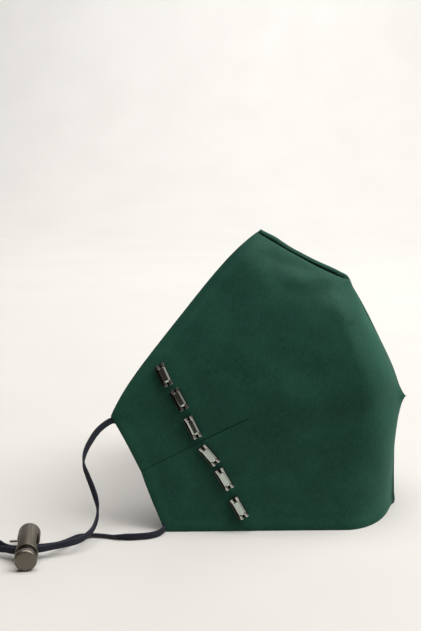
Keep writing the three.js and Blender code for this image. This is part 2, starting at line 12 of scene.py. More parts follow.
import bmesh
import bpy
import numpy as np
from mathutils import Matrix, Vector


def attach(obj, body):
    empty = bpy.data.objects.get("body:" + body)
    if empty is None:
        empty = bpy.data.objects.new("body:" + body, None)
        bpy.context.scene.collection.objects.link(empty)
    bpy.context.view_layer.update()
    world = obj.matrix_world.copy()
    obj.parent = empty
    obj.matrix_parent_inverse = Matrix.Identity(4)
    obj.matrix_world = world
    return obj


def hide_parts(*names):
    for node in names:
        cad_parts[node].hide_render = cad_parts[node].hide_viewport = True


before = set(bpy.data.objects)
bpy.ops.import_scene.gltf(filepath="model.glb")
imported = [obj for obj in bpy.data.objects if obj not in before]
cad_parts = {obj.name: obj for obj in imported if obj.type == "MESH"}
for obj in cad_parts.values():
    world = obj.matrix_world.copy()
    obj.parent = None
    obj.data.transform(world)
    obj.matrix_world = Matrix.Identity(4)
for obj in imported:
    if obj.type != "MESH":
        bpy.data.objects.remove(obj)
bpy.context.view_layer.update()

LOG = logging.getLogger("face_mask")
MM = 0.001
CLOTH_UV = "cloth_mm"
STRAP_UV = "strap_mm"
LOCK_UV = "lock_mm"
# Cloth attribute that darkens its colour: thread lines of the dart and front seam with painted shade of their
# grooves, and painted shade along the chin fold
SEAM_AND_SHADE = "seam"
CLAW = "claw"
SQUARE = 0.99  # share of an axis from which a direction counts as lying along it
ACROSS = 0.1  # share of an axis up to which a direction counts as lying across it
NEAR = 0.1  # mm within which an edge counts as lying at a place

Array = np.ndarray
Piece = bpy.types.Object
Material = bpy.types.Material
Tree = bpy.types.NodeTree
Socket = bpy.types.NodeSocket
Edge = bmesh.types.BMEdge
Face = bmesh.types.BMFace
Place = tuple[float, float]
Range = tuple[float, float]
Point = tuple[float, float, float]
Route = tuple[Point, ...]


class Side(Enum):
    """Wearer's side of a piece, as the sign of its y."""

    RIGHT = -1
    LEFT = 1

    @property
    def label(self) -> str:
        """Name of the side in node and body names."""
        return self.name.lower()


class Pick(Enum):
    """Kind of mesh element that a selection takes."""

    FACES = "FACE"
    EDGES = "EDGE"


# Shader helpers


def linear(colour: str) -> tuple[float, float, float, float]:
    """Turn an sRGB hex colour to linear.

    Args:
        colour: Six hex digits after a hash sign.

    Returns:
        Linear red, green, blue and an alpha of 1.
    """
    shares = [int(colour[i:i + 2], 16) / 255 for i in (1, 3, 5)]
    red, green, blue = (s / 12.92 if s <= 0.04045 else ((s + 0.055) / 1.055) ** 2.4 for s in shares)
    return red, green, blue, 1.0


def add_node(tree: Tree, kind: str, settings: dict, links: dict | None = None) -> bpy.types.Node:
    """Add one node with its settings and links.

    Args:
        tree: Tree that takes the node.
        kind: The node's type name.
        settings: Values by socket name or number, or else by property name.
        links: Outputs of earlier nodes, by the name or number of the socket that they feed.

    Returns:
        The new node.
    """
    node = tree.nodes.new(kind)
    for name, value in settings.items():
        if isinstance(name, str) and name not in node.inputs:
            setattr(node, name, value)
        else:
            node.inputs[name].default_value = value
    for name, output in (links or {}).items():
        tree.links.new(output, node.inputs[name])
    return node


def noise(tree: Tree, places: Socket, scale: float, detail: float) -> Socket:
    """Return the shares of a noise over places."""
    node = add_node(tree, "ShaderNodeTexNoise", {"Scale": scale, "Detail": detail}, {"Vector": places})
    return node.outputs["Fac"]


def spots(tree: Tree, size: float, detail: float) -> Socket:
    """Return a noise on Object coordinates, with spots of a size in mm."""
    own = add_node(tree, "ShaderNodeTexCoord", {})
    return noise(tree, own.outputs["Object"], 1 / (size * MM), detail)


def grain(tree: Tree, uv_map: str, size: Place, detail: float) -> Socket:
    """Return a noise on a piece's own map, with spots of a size in mm along the map's two ways.

    Args:
        tree: Tree that takes the nodes.
        uv_map: Name of the map.
        size: Size of the spots.
        detail: Detail of the noise.

    Returns:
        Shares of the noise.
    """
    own = add_node(tree, "ShaderNodeUVMap", {"uv_map": uv_map})
    scale = {"Scale": (1 / size[0], 1 / size[1], 1)}
    scaled = add_node(tree, "ShaderNodeMapping", scale, {"Vector": own.outputs["UV"]})
    return noise(tree, scaled.outputs["Vector"], 1.0, detail)


def attribute(tree: Tree, name: str) -> Socket:
    """Return the shares of one of a mesh's own attributes."""
    return add_node(tree, "ShaderNodeAttribute", {"attribute_name": name}).outputs["Fac"]


def mixed(tree: Tree, share: float, start: Socket, end: Socket) -> Socket:
    """Return a mix of two shares, with a constant share of the second."""
    return add_node(tree, "ShaderNodeMix", {0: share}, {2: start, 3: end}).outputs[0]


def stretched(tree: Tree, shares: Socket, ends: Range, curve: str = "LINEAR") -> Socket:
    """Return shares stretched so that the two ends become 0 and 1."""
    settings = {"interpolation_type": curve, "From Min": ends[0], "From Max": ends[1]}
    return add_node(tree, "ShaderNodeMapRange", settings, {"Value": shares}).outputs["Result"]


def ranged(tree: Tree, shares: Socket, ends: Range) -> Socket:
    """Return values that run from the first to the second of two ends with the shares."""
    settings = {"To Min": ends[0], "To Max": ends[1]}
    return add_node(tree, "ShaderNodeMapRange", settings, {"Value": shares}).outputs["Result"]


def blend(tree: Tree, shares: Socket, start: Socket | str, end: str) -> Socket:
    """Blend two colours.

    Args:
        tree: Tree that takes the node.
        shares: 0 at the first colour and 1 at the second.
        start: First colour, an output or in hex.
        end: Second colour in hex.

    Returns:
        The blended colour.
    """
    settings = {"data_type": "RGBA", 7: linear(end)}
    links = {0: shares}
    if isinstance(start, str):
        settings[6] = linear(start)
    else:
        links[6] = start
    return add_node(tree, "ShaderNodeMix", settings, links).outputs[2]


def bump(tree: Tree, height: Socket, strength: float, depth: float) -> Socket:
    """Return the normals of a low relief, its depth in mm."""
    settings = {"Strength": strength, "Distance": depth * MM}
    return add_node(tree, "ShaderNodeBump", settings, {"Height": height}).outputs["Normal"]


def new_material(name: str) -> tuple[Material, Tree]:
    """Start a material and return it with its node tree, which is empty.

    Args:
        name: Name of the material.

    Returns:
        The material and its tree.
    """
    material = bpy.data.materials.new(name)
    material.use_nodes = True
    material.node_tree.nodes.clear()
    return material, material.node_tree


def add_shader(tree: Tree, settings: dict, links: dict) -> None:
    """Finish a material's tree with its one shader.

    Args:
        tree: Tree of the material.
        settings: Constant values of the shader's sockets.
        links: Outputs that feed its other sockets.
    """
    shader = add_node(tree, "ShaderNodeBsdfPrincipled", settings, links)
    add_node(tree, "ShaderNodeOutputMaterial", {}, {"Surface": shader.outputs["BSDF"]})


# Finishes


@dataclass(frozen=True)
class CottonSateen:
    """Piece-dyed cotton sateen: long warp floats give a fine grain and a soft sheen where it turns away."""

    shade: str = "#13342a"
    light: str = "#214a3c"
    # Colour blended in by the seam attribute: thread with painted shade along the seams, and painted shade
    # along the chin fold
    seam_and_painted_shade: str = "#0a1a13"
    roughness: float = 0.7
    specular: float = 0.1
    sheen: float = 0.13
    sheen_roughness: float = 0.5
    sheen_tint: str = "#6ec8b0"
    thread: float = 0.6  # real threads lie about 0.2 mm apart: drawn coarser, so that the grain shows
    float_length: float = 2.4
    thread_detail: float = 1.0
    weft_share: float = 0.4
    mottle: float = 13.0
    mottle_detail: float = 2.0
    mottle_share: float = 0.4
    tones: Range = (0.3, 0.7)
    relief: float = 0.05
    relief_strength: float = 0.6

    def material(self) -> Material:
        """Build the material on the cloth's own map, which is in mm.

        Returns:
            The material.
        """
        material, tree = new_material("green_cotton_sateen")
        warp = grain(tree, CLOTH_UV, (self.thread, self.float_length), self.thread_detail)
        weft = grain(tree, CLOTH_UV, (self.float_length, self.thread), self.thread_detail)
        threads = mixed(tree, self.weft_share, warp, weft)
        patches = grain(tree, CLOTH_UV, (self.mottle, self.mottle), self.mottle_detail)
        tone = stretched(tree, mixed(tree, self.mottle_share, threads, patches), self.tones)
        dyed = blend(tree, tone, self.shade, self.light)
        add_shader(tree, {
            "Roughness": self.roughness, "Specular IOR Level": self.specular, "Sheen Weight": self.sheen,
            "Sheen Roughness": self.sheen_roughness, "Sheen Tint": linear(self.sheen_tint),
        }, {
            # Darkened where the seam attribute lies: thread lines with painted shade, and the painted chin
            # shade
            "Base Color": blend(tree, attribute(tree, SEAM_AND_SHADE), dyed, self.seam_and_painted_shade),
            "Normal": bump(tree, threads, self.relief_strength, self.relief),
        })
        return material


@dataclass(frozen=True)
class BraidedElastic:
    """Flat braided elastic in near-black navy: plain and matt, with a faint uneven grain along the strap."""

    shade: str = "#1e2128"
    light: str = "#2c2f38"
    roughness: float = 0.75
    specular: float = 0.15
    sheen: float = 0.05
    sheen_roughness: float = 0.5
    sheen_tint: str = "#8f96a8"
    yarn: float = 0.5
    yarn_length: float = 5.0
    yarn_detail: float = 2.0
    relief: float = 0.05
    relief_strength: float = 0.4

    def material(self) -> Material:
        """Build the material on the strap's own map: along it and across it, in mm.

        Returns:
            The material.
        """
        material, tree = new_material("black_braided_elastic")
        yarns = grain(tree, STRAP_UV, (self.yarn_length, self.yarn), self.yarn_detail)
        add_shader(tree, {
            "Roughness": self.roughness, "Specular IOR Level": self.specular, "Sheen Weight": self.sheen,
            "Sheen Roughness": self.sheen_roughness, "Sheen Tint": linear(self.sheen_tint),
        }, {
            "Base Color": blend(tree, yarns, self.shade, self.light),
            "Normal": bump(tree, yarns, self.relief_strength, self.relief),
        })
        return material


@dataclass(frozen=True)
class BrushedGunmetal:
    """Gunmetal-plated zinc, brushed along the lock: satin brown-grey with fine lengthwise streaks."""

    shade: str = "#544f46"
    light: str = "#807a6f"
    tones: Range = (0.3, 0.7)
    roughness: Range = (0.38, 0.5)
    streak: float = 0.5
    streak_length: float = 22.0
    streak_detail: float = 3.0
    relief: float = 0.03
    relief_strength: float = 0.25

    def material(self) -> Material:
        """Build the material on the lock's own map: round it and along it, in mm.

        Returns:
            The material.
        """
        material, tree = new_material("brushed_gunmetal")
        streaks = grain(tree, LOCK_UV, (self.streak, self.streak_length), self.streak_detail)
        add_shader(tree, {"Metallic": 1.0}, {
            "Base Color": blend(tree, stretched(tree, streaks, self.tones), self.shade, self.light),
            "Roughness": ranged(tree, streaks, self.roughness),
            "Normal": bump(tree, streaks, self.relief_strength, self.relief),
        })
        return material


@dataclass(frozen=True)
class PlatedSetting:
    """Stamped brass plated with black nickel, paler on the claws, with small handling marks."""

    shade: str = "#34312f"
    light: str = "#56524e"
    claw_colour: str = "#b9bcb4"
    roughness: Range = (0.14, 0.32)
    mark: float = 1.6
    mark_detail: float = 3.0

    def material(self) -> Material:
        """Build the material on Object coordinates.

        Returns:
            The material.
        """
        material, tree = new_material("black_nickel_plate")
        marks = spots(tree, self.mark, self.mark_detail)
        plated = blend(tree, marks, self.shade, self.light)
        add_shader(tree, {"Metallic": 1.0}, {
            # The claws are coloured paler than the cup
            "Base Color": blend(tree, attribute(tree, CLAW), plated, self.claw_colour),
            "Roughness": ranged(tree, marks, self.roughness),
        })
        return material


@dataclass(frozen=True)
class MirroredGlass:
    """Step-cut glass with a dark mirror coating: flat facets mirror the pale table or the dark room. The
    coating's grey is its own colour; its green tint is a painted reflection of the green cloth around it.
    """

    # Grey of the coating with a green tint that is a painted reflection of the cloth
    shade: str = "#a9b0a8"
    light: str = "#b9c2bb"
    roughness: Range = (0.03, 0.09)
    coat: float = 0.5
    coat_roughness: float = 0.03
    haze: float = 3.5
    haze_detail: float = 1.0

    def material(self) -> Material:
        """Build the material on Object coordinates.

        Returns:
            The material.
        """
        material, tree = new_material("mirrored_smoky_glass")
        haze = spots(tree, self.haze, self.haze_detail)
        settings = {"Metallic": 1.0, "Coat Weight": self.coat, "Coat Roughness": self.coat_roughness}
        add_shader(tree, settings, {
            "Base Color": blend(tree, haze, self.shade, self.light),
            "Roughness": ranged(tree, haze, self.roughness),
        })
        return material


@dataclass(frozen=True)
class MattPaper:
    """Matt white studio paper, very faintly warm and uneven."""

    shade: str = "#bcbab6"
    light: str = "#c4c2be"
    roughness: float = 0.9
    specular: float = 0.15
    patch: float = 90.0
    patch_detail: float = 4.0

    def material(self) -> Material:
        """Build the material on Object coordinates.

        Returns:
            The material.
        """
        material, tree = new_material("matt_paper")
        patches = spots(tree, self.patch, self.patch_detail)
        add_shader(tree, {"Roughness": self.roughness, "Specular IOR Level": self.specular},
                   {"Base Color": blend(tree, patches, self.shade, self.light)})
        return material


# Mesh helpers


def mesh_piece(name: str, points: Array, faces: list, material: Material) -> Piece:
    """Make a smooth mesh object from points and faces.

    Args:
        name: Name of the piece.
        points: Points in mm, one row each.
        faces: Point numbers of each face.
        material: Finish of the piece.

    Returns:
        The new object, at the origin.
    """
    mesh = bpy.data.meshes.new(name)
    mesh.from_pydata((points * MM).tolist(), [], faces)
    mesh.polygons.foreach_set("use_smooth", np.ones(len(mesh.polygons), dtype=bool))
    mesh.materials.append(material)
    piece = bpy.data.objects.new(name, mesh)
    bpy.context.scene.collection.objects.link(piece)
    return piece


def grid_faces(number: Array) -> Array:
    """Return the four point numbers of every face of a grid, along its columns first."""
    corners = (number[:-1, :-1], number[:-1, 1:], number[1:, 1:], number[1:, :-1])
    return np.stack(corners, axis=-1).reshape(-1, 4)


def add_map(piece: Piece, name: str, places: Array) -> None:
    """Give a mesh a UV map.

    Args:
        piece: Object that takes the map.
        name: Name of the map.
        places: Map place of each mesh point, one row each.
    """
    mesh = piece.data
    corners = np.empty(len(mesh.loops), dtype=np.int32)
    mesh.loops.foreach_get("vertex_index", corners)
    mesh.uv_layers.new(name=name).data.foreach_set("uv", places[corners].astype(np.float32).ravel())


def add_shares(piece: Piece, name: str, shares: Array) -> None:
    """Give the points of a mesh an attribute of shares."""
    layer = piece.data.attributes.new(name, "FLOAT", "POINT")
    layer.data.foreach_set("value", shares.astype(np.float32))


def take(*pieces: Piece) -> None:
    """Select these pieces alone and make the first of them active."""
    bpy.ops.object.select_all(action="DESELECT")
    for piece in pieces:
        piece.select_set(True)
    bpy.context.view_layer.objects.active = pieces[0]


def start_piece(name: str, add: Callable, **sizes: object) -> Piece:
    """Add one primitive with nothing else selected, its place already in its mesh.

    Args:
        name: Name of the piece.
        add: The operator that adds the primitive.
        sizes: The operator's sizes, in mm.

    Returns:
        The new object, active and in edit mode.
    """
    bpy.ops.object.select_all(action="DESELECT")
    add(**sizes)
    piece = bpy.context.object
    piece.name = name
    piece.data.name = name
    bpy.ops.object.transform_apply(location=True, rotation=True, scale=True)
    bpy.ops.object.mode_set(mode="EDIT")
    return piece


def start_block(name: str, size: Point, centre: Point) -> Piece:
    """Start a piece from a block."""
    return start_piece(name, bpy.ops.mesh.primitive_cube_add, size=1, scale=size, location=centre)


def pick(piece: Piece, kind: Pick, test: Callable) -> None:
    """Select elements of the mesh in edit mode.

    Args:
        piece: Object in edit mode.
        kind: Faces or edges.
        test: Says of one element whether it is taken.
    """
    bpy.ops.mesh.select_mode(type=kind.value)
    bpy.ops.mesh.select_all(action="DESELECT")
    mesh = bmesh.from_edit_mesh(piece.data)
    for element in mesh.faces if kind is Pick.FACES else mesh.edges:
        if test(element):
            element.select_set(True)
    bmesh.update_edit_mesh(piece.data)


def edge_middle(edge: Edge) -> Vector:
    """Return the middle of an edge."""
    return (edge.verts[0].co + edge.verts[1].co) / 2


def edge_along(edge: Edge) -> Vector:
    """Return the direction of an edge."""
    return (edge.verts[1].co - edge.verts[0].co).normalized()


def stands(edge: Edge) -> bool:
    """Say whether an edge stands upright."""
    return abs(edge_along(edge).z) > SQUARE


def faces_up(face: Face) -> bool:
    """Say whether a face lies level and faces up."""
    return face.normal.z > SQUARE


def faces_down(face: Face) -> bool:
    """Say whether a face lies level and faces down."""
    return face.normal.z < -SQUARE


def extrude(x: float = 0, y: float = 0, z: float = 0) -> None:
    """Extrude what is selected by a way in mm."""
    bpy.ops.mesh.extrude_region_move(TRANSFORM_OT_translate={"value": (x, y, z)})


def round_edges(piece: Piece, test: Callable, offset: float, segments: int) -> None:
    """Round the edges that a test takes, in edit mode."""
    pick(piece, Pick.EDGES, test)
    bpy.ops.mesh.bevel(offset=offset, segments=segments, affect="EDGES")


def apply_modifier(piece: Piece, kind: str, **settings: object) -> None:
    """Leave edit mode, add one modifier to a piece and apply it.

    Args:
        piece: Object that is changed.
        kind: Type of the modifier.
        settings: Its settings.
    """
    bpy.ops.object.mode_set(mode="OBJECT")
    take(piece)
    modifier = piece.modifiers.new(kind.lower(), kind)
    for name, value in settings.items():
        setattr(modifier, name, value)
    bpy.ops.object.modifier_apply(modifier=modifier.name)


def soften(piece: Piece, width: float, degrees: float) -> None:
    """Round all edges sharper than an angle by a small width."""
    apply_modifier(piece, "BEVEL", width=width, segments=2, limit_method="ANGLE",
                   angle_limit=math.radians(degrees))


def smooth_by_angle(piece: Piece, degrees: float) -> None:
    """Shade a piece smooth, apart from edges sharper than an angle."""
    take(piece)
    bpy.ops.object.shade_smooth_by_angle(angle=math.radians(degrees))


def copy_piece(piece: Piece, name: str) -> Piece:
    """Return a copy of a piece under another name, with a mesh of its own.

    Args:
        piece: Piece that is copied.
        name: Name of the copy.

    Returns:
        The copy.
    """
    copy = bpy.data.objects.new(name, piece.data.copy())
    copy.data.name = name
    bpy.context.scene.collection.objects.link(copy)
    return copy


def settle(piece: Piece, place: Matrix, material: Material) -> None:
    """Move a piece's mesh to its place, turn it to metres and give it its finish.

    Args:
        piece: Object at the origin, modelled in mm.
        place: Its place in mm.
        material: Its finish.
    """
    piece.data.transform(Matrix.Scale(MM, 4) @ place)
    piece.data.materials.clear()
    piece.data.materials.append(material)
    piece.data.update()


# Cloth body


@dataclass(frozen=True)
class Section:
    """One level section of the cloth, in mm.

    front is the middle line ahead of the chin, nose the length of the rounded front, shoulder the half width
    where the cheeks would meet it, and flare the widening per mm back.
    """

    z: float
    front: float
    nose: float
    shoulder: float
    flare: float


@dataclass(frozen=True)
class Fold:
    """A soft fold along a line in side view: a ridge where height is above 0, a valley below."""

    start: Place
    end: Place
    height: float
    spread: float

    def rise(self, x: Array, z: Array) -> Array:
        """Return how far the fold lifts the cloth at side-view places."""
        away, _ = from_line(x, z, self.start, self.end)
        return self.height * np.exp(-((away / self.spread) ** 2) / 2)


def from_line(x: Array, z: Array, start: Place, end: Place) -> tuple[Array, Array]:
    """Measure places from a straight line in side view.

    Args:
        x: Places along X.
        z: Places along Z.
        start: Start of the line.
        end: End of the line.

    Returns:
        Distance from the line, and the share along it, below 0 before the start and above 1 past the end.
    """
    along_x, along_z = end[0] - start[0], end[1] - start[1]
    share = ((x - start[0]) * along_x + (z - start[1]) * along_z) / (along_x ** 2 + along_z ** 2)
    held = np.clip(share, 0, 1)
    return np.hypot(x - start[0] - held * along_x, z - start[1] - held * along_z), share


def below_line(x: Array, z: Array, start: Place, end: Place) -> Array:
    """Return how far places lie below a line that runs towards +X in side view, 0 above it."""
    along_x, along_z = end[0] - start[0], end[1] - start[1]
    return np.maximum(0, (x - start[0]) * along_z - (z - start[1]) * along_x) / math.hypot(along_x, along_z)


def smooth_share(value: Array, start: float, end: float) -> Array:
    """Return a smooth share that is 0 up to start and 1 from end on."""
    share = np.clip((value - start) / (end - start), 0, 1)
    return share * share * (3 - 2 * share)


def between(start: Place, end: Place, share: Array) -> tuple[Array, Array]:
    """Return places at shares of a straight line in side view."""
    return start[0] + (end[0] - start[0]) * share, start[1] + (end[1] - start[1]) * share


def bell(away: Array, spread: float) -> Array:
    """Return a soft bell: 1 at 0 and e to the power of -1 one spread away."""
    return np.exp(-((away / spread) ** 2))


def both(right: Array, left: Array) -> Array:
    """Join the columns of both cheeks, which share the front line, from the right ear to the left."""
    return np.concatenate([right, left[:, -2::-1]], axis=1)


@dataclass(frozen=True)
class Wave:
    """A faint wave of the cloth: mm of x and of z per radian, and its shift to either side in radians."""

    x: float
    z: float
    shift: float

    def rise(self, x: Array, z: Array, side: Side) -> Array:
        """Return the wave at side-view places of one cheek, from -1 to 1."""
        return np.sin(x / self.x + z / self.z + self.shift * side.value)


@dataclass(frozen=True)
class ClothGrid:
    """Rows and columns of the cloth's mesh, closer at its edges, along the cheek dart and at the front line.

    course and column are typical lengths in mm. edge and dart are the close lines in mm and front those in
    degrees, and each has the place where the even lines begin.
    """

    course: float = 85.0
    column: float = 42.0
    edge: tuple[float, ...] = (0.0, 0.1, 0.3, 0.6, 0.95, 1.6)
    edge_end: float = 2.6
    dart: tuple[float, ...] = (0.12, 0.28, 0.5, 0.8, 1.3, 2.1)
    dart_end: float = 3.2
    front: tuple[float, ...] = (2.2, 1.4, 0.8, 0.4, 0.15, 0.0)
    front_end: float = 3.2
    upper_columns: int = 58
    nose_columns: int = 20
    front_columns: int = 36
    lower_rows: int = 34
    upper_rows: int = 44

    def side_shares(self, peak_share: float) -> Array:
        """Return the shares of the side columns, one of them at the peak.

        Args:
            peak_share: Share at which the peak lies.

        Returns:
            Shares from the ear edge to the rounded front.
        """
        upper = np.linspace(self.edge_end / self.course, peak_share, self.upper_columns)
        nose = np.linspace(peak_share, 1, self.nose_columns)[1:-1]
        return np.concatenate([np.array(self.edge) / self.course, upper, nose])

    def front_turns(self) -> Array:
        """Return the angles of the front columns, from the cheek to the front line."""
        even = np.linspace(math.pi / 2, math.radians(self.front_end), self.front_columns)
        return np.concatenate([even, np.radians(self.front)])

    def row_shares(self) -> Array:
        """Return the rows: 0 at the hem, 1 along the dart, 2 at the top.

        Returns:
            Shares from the hem to the top.
        """
        edge, dart = np.array(self.edge) / self.column, np.array(self.dart) / self.column
        edge_end, dart_end = self.edge_end / self.column, self.dart_end / self.column
        lower = np.linspace(edge_end, 1 - dart_end, self.lower_rows)
        upper = np.linspace(1 + dart_end, 2 - edge_end, self.upper_rows)
        return np.concatenate([edge, lower, 1 - dart[::-1], [1.0], 1 + dart, upper, 2 - edge[::-1]])


@dataclass(frozen=True)
class ClothBody:
    """Sewn cloth body: two cheeks in one piece, shaped by nose, chin and cheek darts."""

    wall: float = 1.8
    chin_x: float = 59.0
    fullness: float = 2.2
    sections: tuple[Section, ...] = (
        Section(z=0, front=-1.3, nose=18.5, shoulder=29.3, flare=0.235),
        Section(z=20, front=-1.2, nose=22.5, shoulder=26.2, flare=0.228),
        Section(z=40, front=-0.1, nose=18, shoulder=23.1, flare=0.212),
        Section(z=53, front=-0.4, nose=14.5, shoulder=20, flare=0.215),
        Section(z=66, front=-3.6, nose=12.5, shoulder=16.8, flare=0.21),
        Section(z=85, front=-12.8, nose=10.5, shoulder=12.2, flare=0.185),
        Section(z=105, front=-23.6, nose=9, shoulder=7.2, flare=0.14),
        Section(z=128, front=-35.6, nose=8, shoulder=3.8, flare=0.06),
    )
    hem_corner: Place = (-95.8, 0.0)
    ear_corner: Place = (-120.7, 49.0)
    peak: Place = (-64.4, 125.3)
    peak_share: float = 14 / 18
    nose_top_z: float = 105.7
    upper_bow: float = 3.4
    upper_roundness: float = 4.0
    nose_sag: float = 0.7
    dart_ear: Place = (-106.8, 25.6)
    dart_end: Place = (-61.2, 49.0)
    dart_share: float = 0.5
    dart_depth: float = 0.4
    dart_half: float = 0.35
    dart_sharpness: float = 1.3
    dart_taper: float = 0.06
    dart_ear_depth: float = 0.75
    # How dark the dart's line is coloured from the ear to its end: thread colour with painted shade of the
    # groove
    dart_thread_and_shade: Range = (0.35, 0.9)
    dart_dip: float = 0.12
    dart_dip_spread: float = 2.0
    puff_at: Place = (-50.0, 53.0)
    puff_rise: float = 1.2
    puff_spread: float = 11.0
    crown_rise: float = 9.5
    crown_full: float = 13.0
    crown_gone: float = 85.0
    crown_edge: float = 6.0
    far_crown: float = 0.3
    far_lip: float = 1.0
    far_lip_run: Range = (0.0, 0.2)
    far_drop: float = 1.5
    far_drop_run: Range = (0.0, 0.4)
    far_gone: Range = (0.88, 1.0)
    lip_run: float = 4.0
    nose_notch: float = 0.9
    nose_notch_run: Range = (0.45, 0.96)
    nose_z: float = 52.1
    nose_reach: float = 4.8
    nose_spread: float = 6.1
    chin_top: float = 30.0
    chin_reach: float = 2.0
    chin_spread: float = 3.0
    # Painted shade: a darker strip of the cloth's colour along the chin's middle line, low on the chin
    chin_painted_shade: float = 0.85
    chin_painted_shade_edge: Range = (-3.2, -1.8)
    chin_painted_shade_gone: Range = (1.8, 3.6)
    chin_painted_shade_top: Range = (16.0, 32.0)
    border: float = 0.05
    front_seam_half: float = 0.6
    front_seam_depth: float = 0.04
    front_seam_start: float = 6.0
    # How dark the front seam's line is coloured: thread colour with painted shade of the groove
    front_seam_thread_and_shade: float = 0.12
    edge_roll: float = 0.22
    edge_roll_at: float = 2.0
    edge_roll_spread: float = 1.5
    edge_line: float = 0.1
    edge_line_at: float = 6.0
    edge_line_spread: float = 1.3
    hem_level: float = 5.0
    fold_start: float = 8.0
    fold_least: float = 0.25
    inner_least: float = 0.3
    folds: tuple[Fold, ...] = (
        Fold(start=(-46.0, 107.4), end=(-28.0, 106.4), height=1.0, spread=2.4),
        Fold(start=(-59.0, 120.5), end=(-31.0, 107.0), height=1.2, spread=1.6),
        Fold(start=(-56.0, 116.5), end=(-40.0, 111.0), height=-1.0, spread=2.4),
        Fold(start=(-43.0, 101.0), end=(-29.0, 101.0), height=-0.5, spread=3.0),
        Fold(start=(-61.0, 113.5), end=(-48.0, 105.0), height=-0.5, spread=2.8),
        Fold(start=(-6.0, 53.0), end=(-36.0, 46.0), height=-1.4, spread=4.5),
        Fold(start=(-50.0, 60.0), end=(-37.0, 53.0), height=1.2, spread=6.0),
        Fold(start=(-32.0, 17.5), end=(-7.0, 23.5), height=0.7, spread=5.0),
    )
    wave_height: float = 0.1
    waves: tuple[Wave, ...] = (
        Wave(x=7.3, z=11.0, shift=0.6), Wave(x=12.5, z=-6.1, shift=-1.2), Wave(x=21.0, z=9.2, shift=0.0),
    )
    grid: ClothGrid = ClothGrid()
    meeting_rounds: int = 20
    flat_width: float = 0.245
    flat_length: float = 0.165
    flat_area: float = 0.0265

    def section(self, column: str, z: Array) -> Array:
        """Return the smooth value of one column of the sections at heights z.

        Args:
            column: Name of the column.
            z: Heights.

        Returns:
            One value for each height.
        """
        heights = np.array([s.z for s in self.sections])
        values = np.array([getattr(s, column) for s in self.sections])
        low = np.maximum(np.arange(len(heights)) - 1, 0)
        high = np.minimum(np.arange(len(heights)) + 1, len(heights) - 1)
        slopes = (values[high] - values[low]) / (heights[high] - heights[low])
        i = np.clip(np.searchsorted(heights, z) - 1, 0, len(heights) - 2)
        span = heights[i + 1] - heights[i]
        share = (z - heights[i]) / span
        rise = values[i + 1] - values[i]
        bend = slopes[i] * span - rise
        bend_after = rise - slopes[i + 1] * span
        return values[i] + share * rise + share * (1 - share) * ((1 - share) * bend + share * bend_after)

    def value(self, column: str, z: float) -> float:
        """Return the value of one column of the sections at one height."""
        return float(self.section(column, np.array([z]))[0])

    def nose_top(self) -> Place:
        """Return the side-view place where the nose edge meets the front line."""
        return self.value("front", self.nose_top_z), self.nose_top_z

    def crown_swell(self, x: Array, z: Array, side: Side) -> Array:
        """Return the swelling below the nose edge, where the cloth rolls over towards it.

        Args:
            x: Side-view places along X.
            z: Their heights.
            side: Cheek that is meant.

        Returns:
            Swelling in mm.
        """
        nose_drop = below_line(x, z, self.peak, self.nose_top())
        ear_drop = below_line(x, z, self.ear_corner, self.peak)
        roll = 1 - (1 - np.minimum(nose_drop / self.crown_full, 1)) ** 2
        fade = 1 - smooth_share(nose_drop, self.crown_full, self.crown_gone)
        rise = self.crown_rise * (1 if side is Side.RIGHT else self.far_crown)
        return rise * roll * fade * smooth_share(ear_drop + self.upper_bow, 0, self.crown_edge)

    def outer_face(self, back: Array, z: Array, side: Side) -> Array:
        """Return points of one cheek's outer face, back mm behind the front line, y being the half width.

        Args:
            back: Distances behind the front line.
            z: Heights.
            side: Cheek that is meant.

        Returns:
            One point for each place.
        """
        ahead = np.maximum(0, 1 - back / self.section("nose", z))
        roundness = (1 - ahead ** self.fullness) ** (1 / self.fullness)
        x = self.section("front", z) - back
        away = np.hypot(x - self.puff_at[0], z - self.puff_at[1])
        puff = self.puff_rise * np.exp(-((away / self.puff_spread) ** 2) / 2) + self.crown_swell(x, z, side)
        half = (self.section("shoulder", z) + self.section("flare", z) * back + puff) * roundness
        point = self.nose_reach * np.exp(-np.hypot(half, z - self.nose_z) / self.nose_spread)
        low = 1 - smooth_share(z, 0, self.chin_top)
        ridge = self.chin_reach * low * np.exp(-half / self.chin_spread)
        return np.stack([self.chin_x + x + point + ridge, half, z], axis=-1)

    def cheek_point(self, x: float, z: float, side: Side) -> Vector:
        """Return the point of the outer face at a side-view place of one cheek.

        Args:
            x: Side-view place along X.
            z: Its height.
            side: Cheek that is meant.

        Returns:
            The point in mm.
        """
        heights = np.array([z])
        point = self.outer_face(self.section("front", heights) - x, heights, side)[0]
        return Vector((point[0], side.value * point[1], point[2]))

    def cheek_normal(self, x: float, z: float, side: Side) -> Vector:
        """Return the outward normal at a side-view place of one cheek.

        Args:
            x: Side-view place along X.
            z: Its height.
            side: Cheek that is meant.

        Returns:
            A direction of length 1.
        """
        along = self.cheek_point(x + 1, z, side) - self.cheek_point(x - 1, z, side)
        up = self.cheek_point(x, z + 1, side) - self.cheek_point(x, z - 1, side)
        return (along.cross(up) * -side.value).normalized()

    def wall_middle(self, x: float, z: float, side: Side) -> Point:
        """Return the middle of the wall at a side-view place of one cheek."""
        point = self.cheek_point(x, z, side) - self.cheek_normal(x, z, side) * (self.wall / 2)
        return tuple(point)

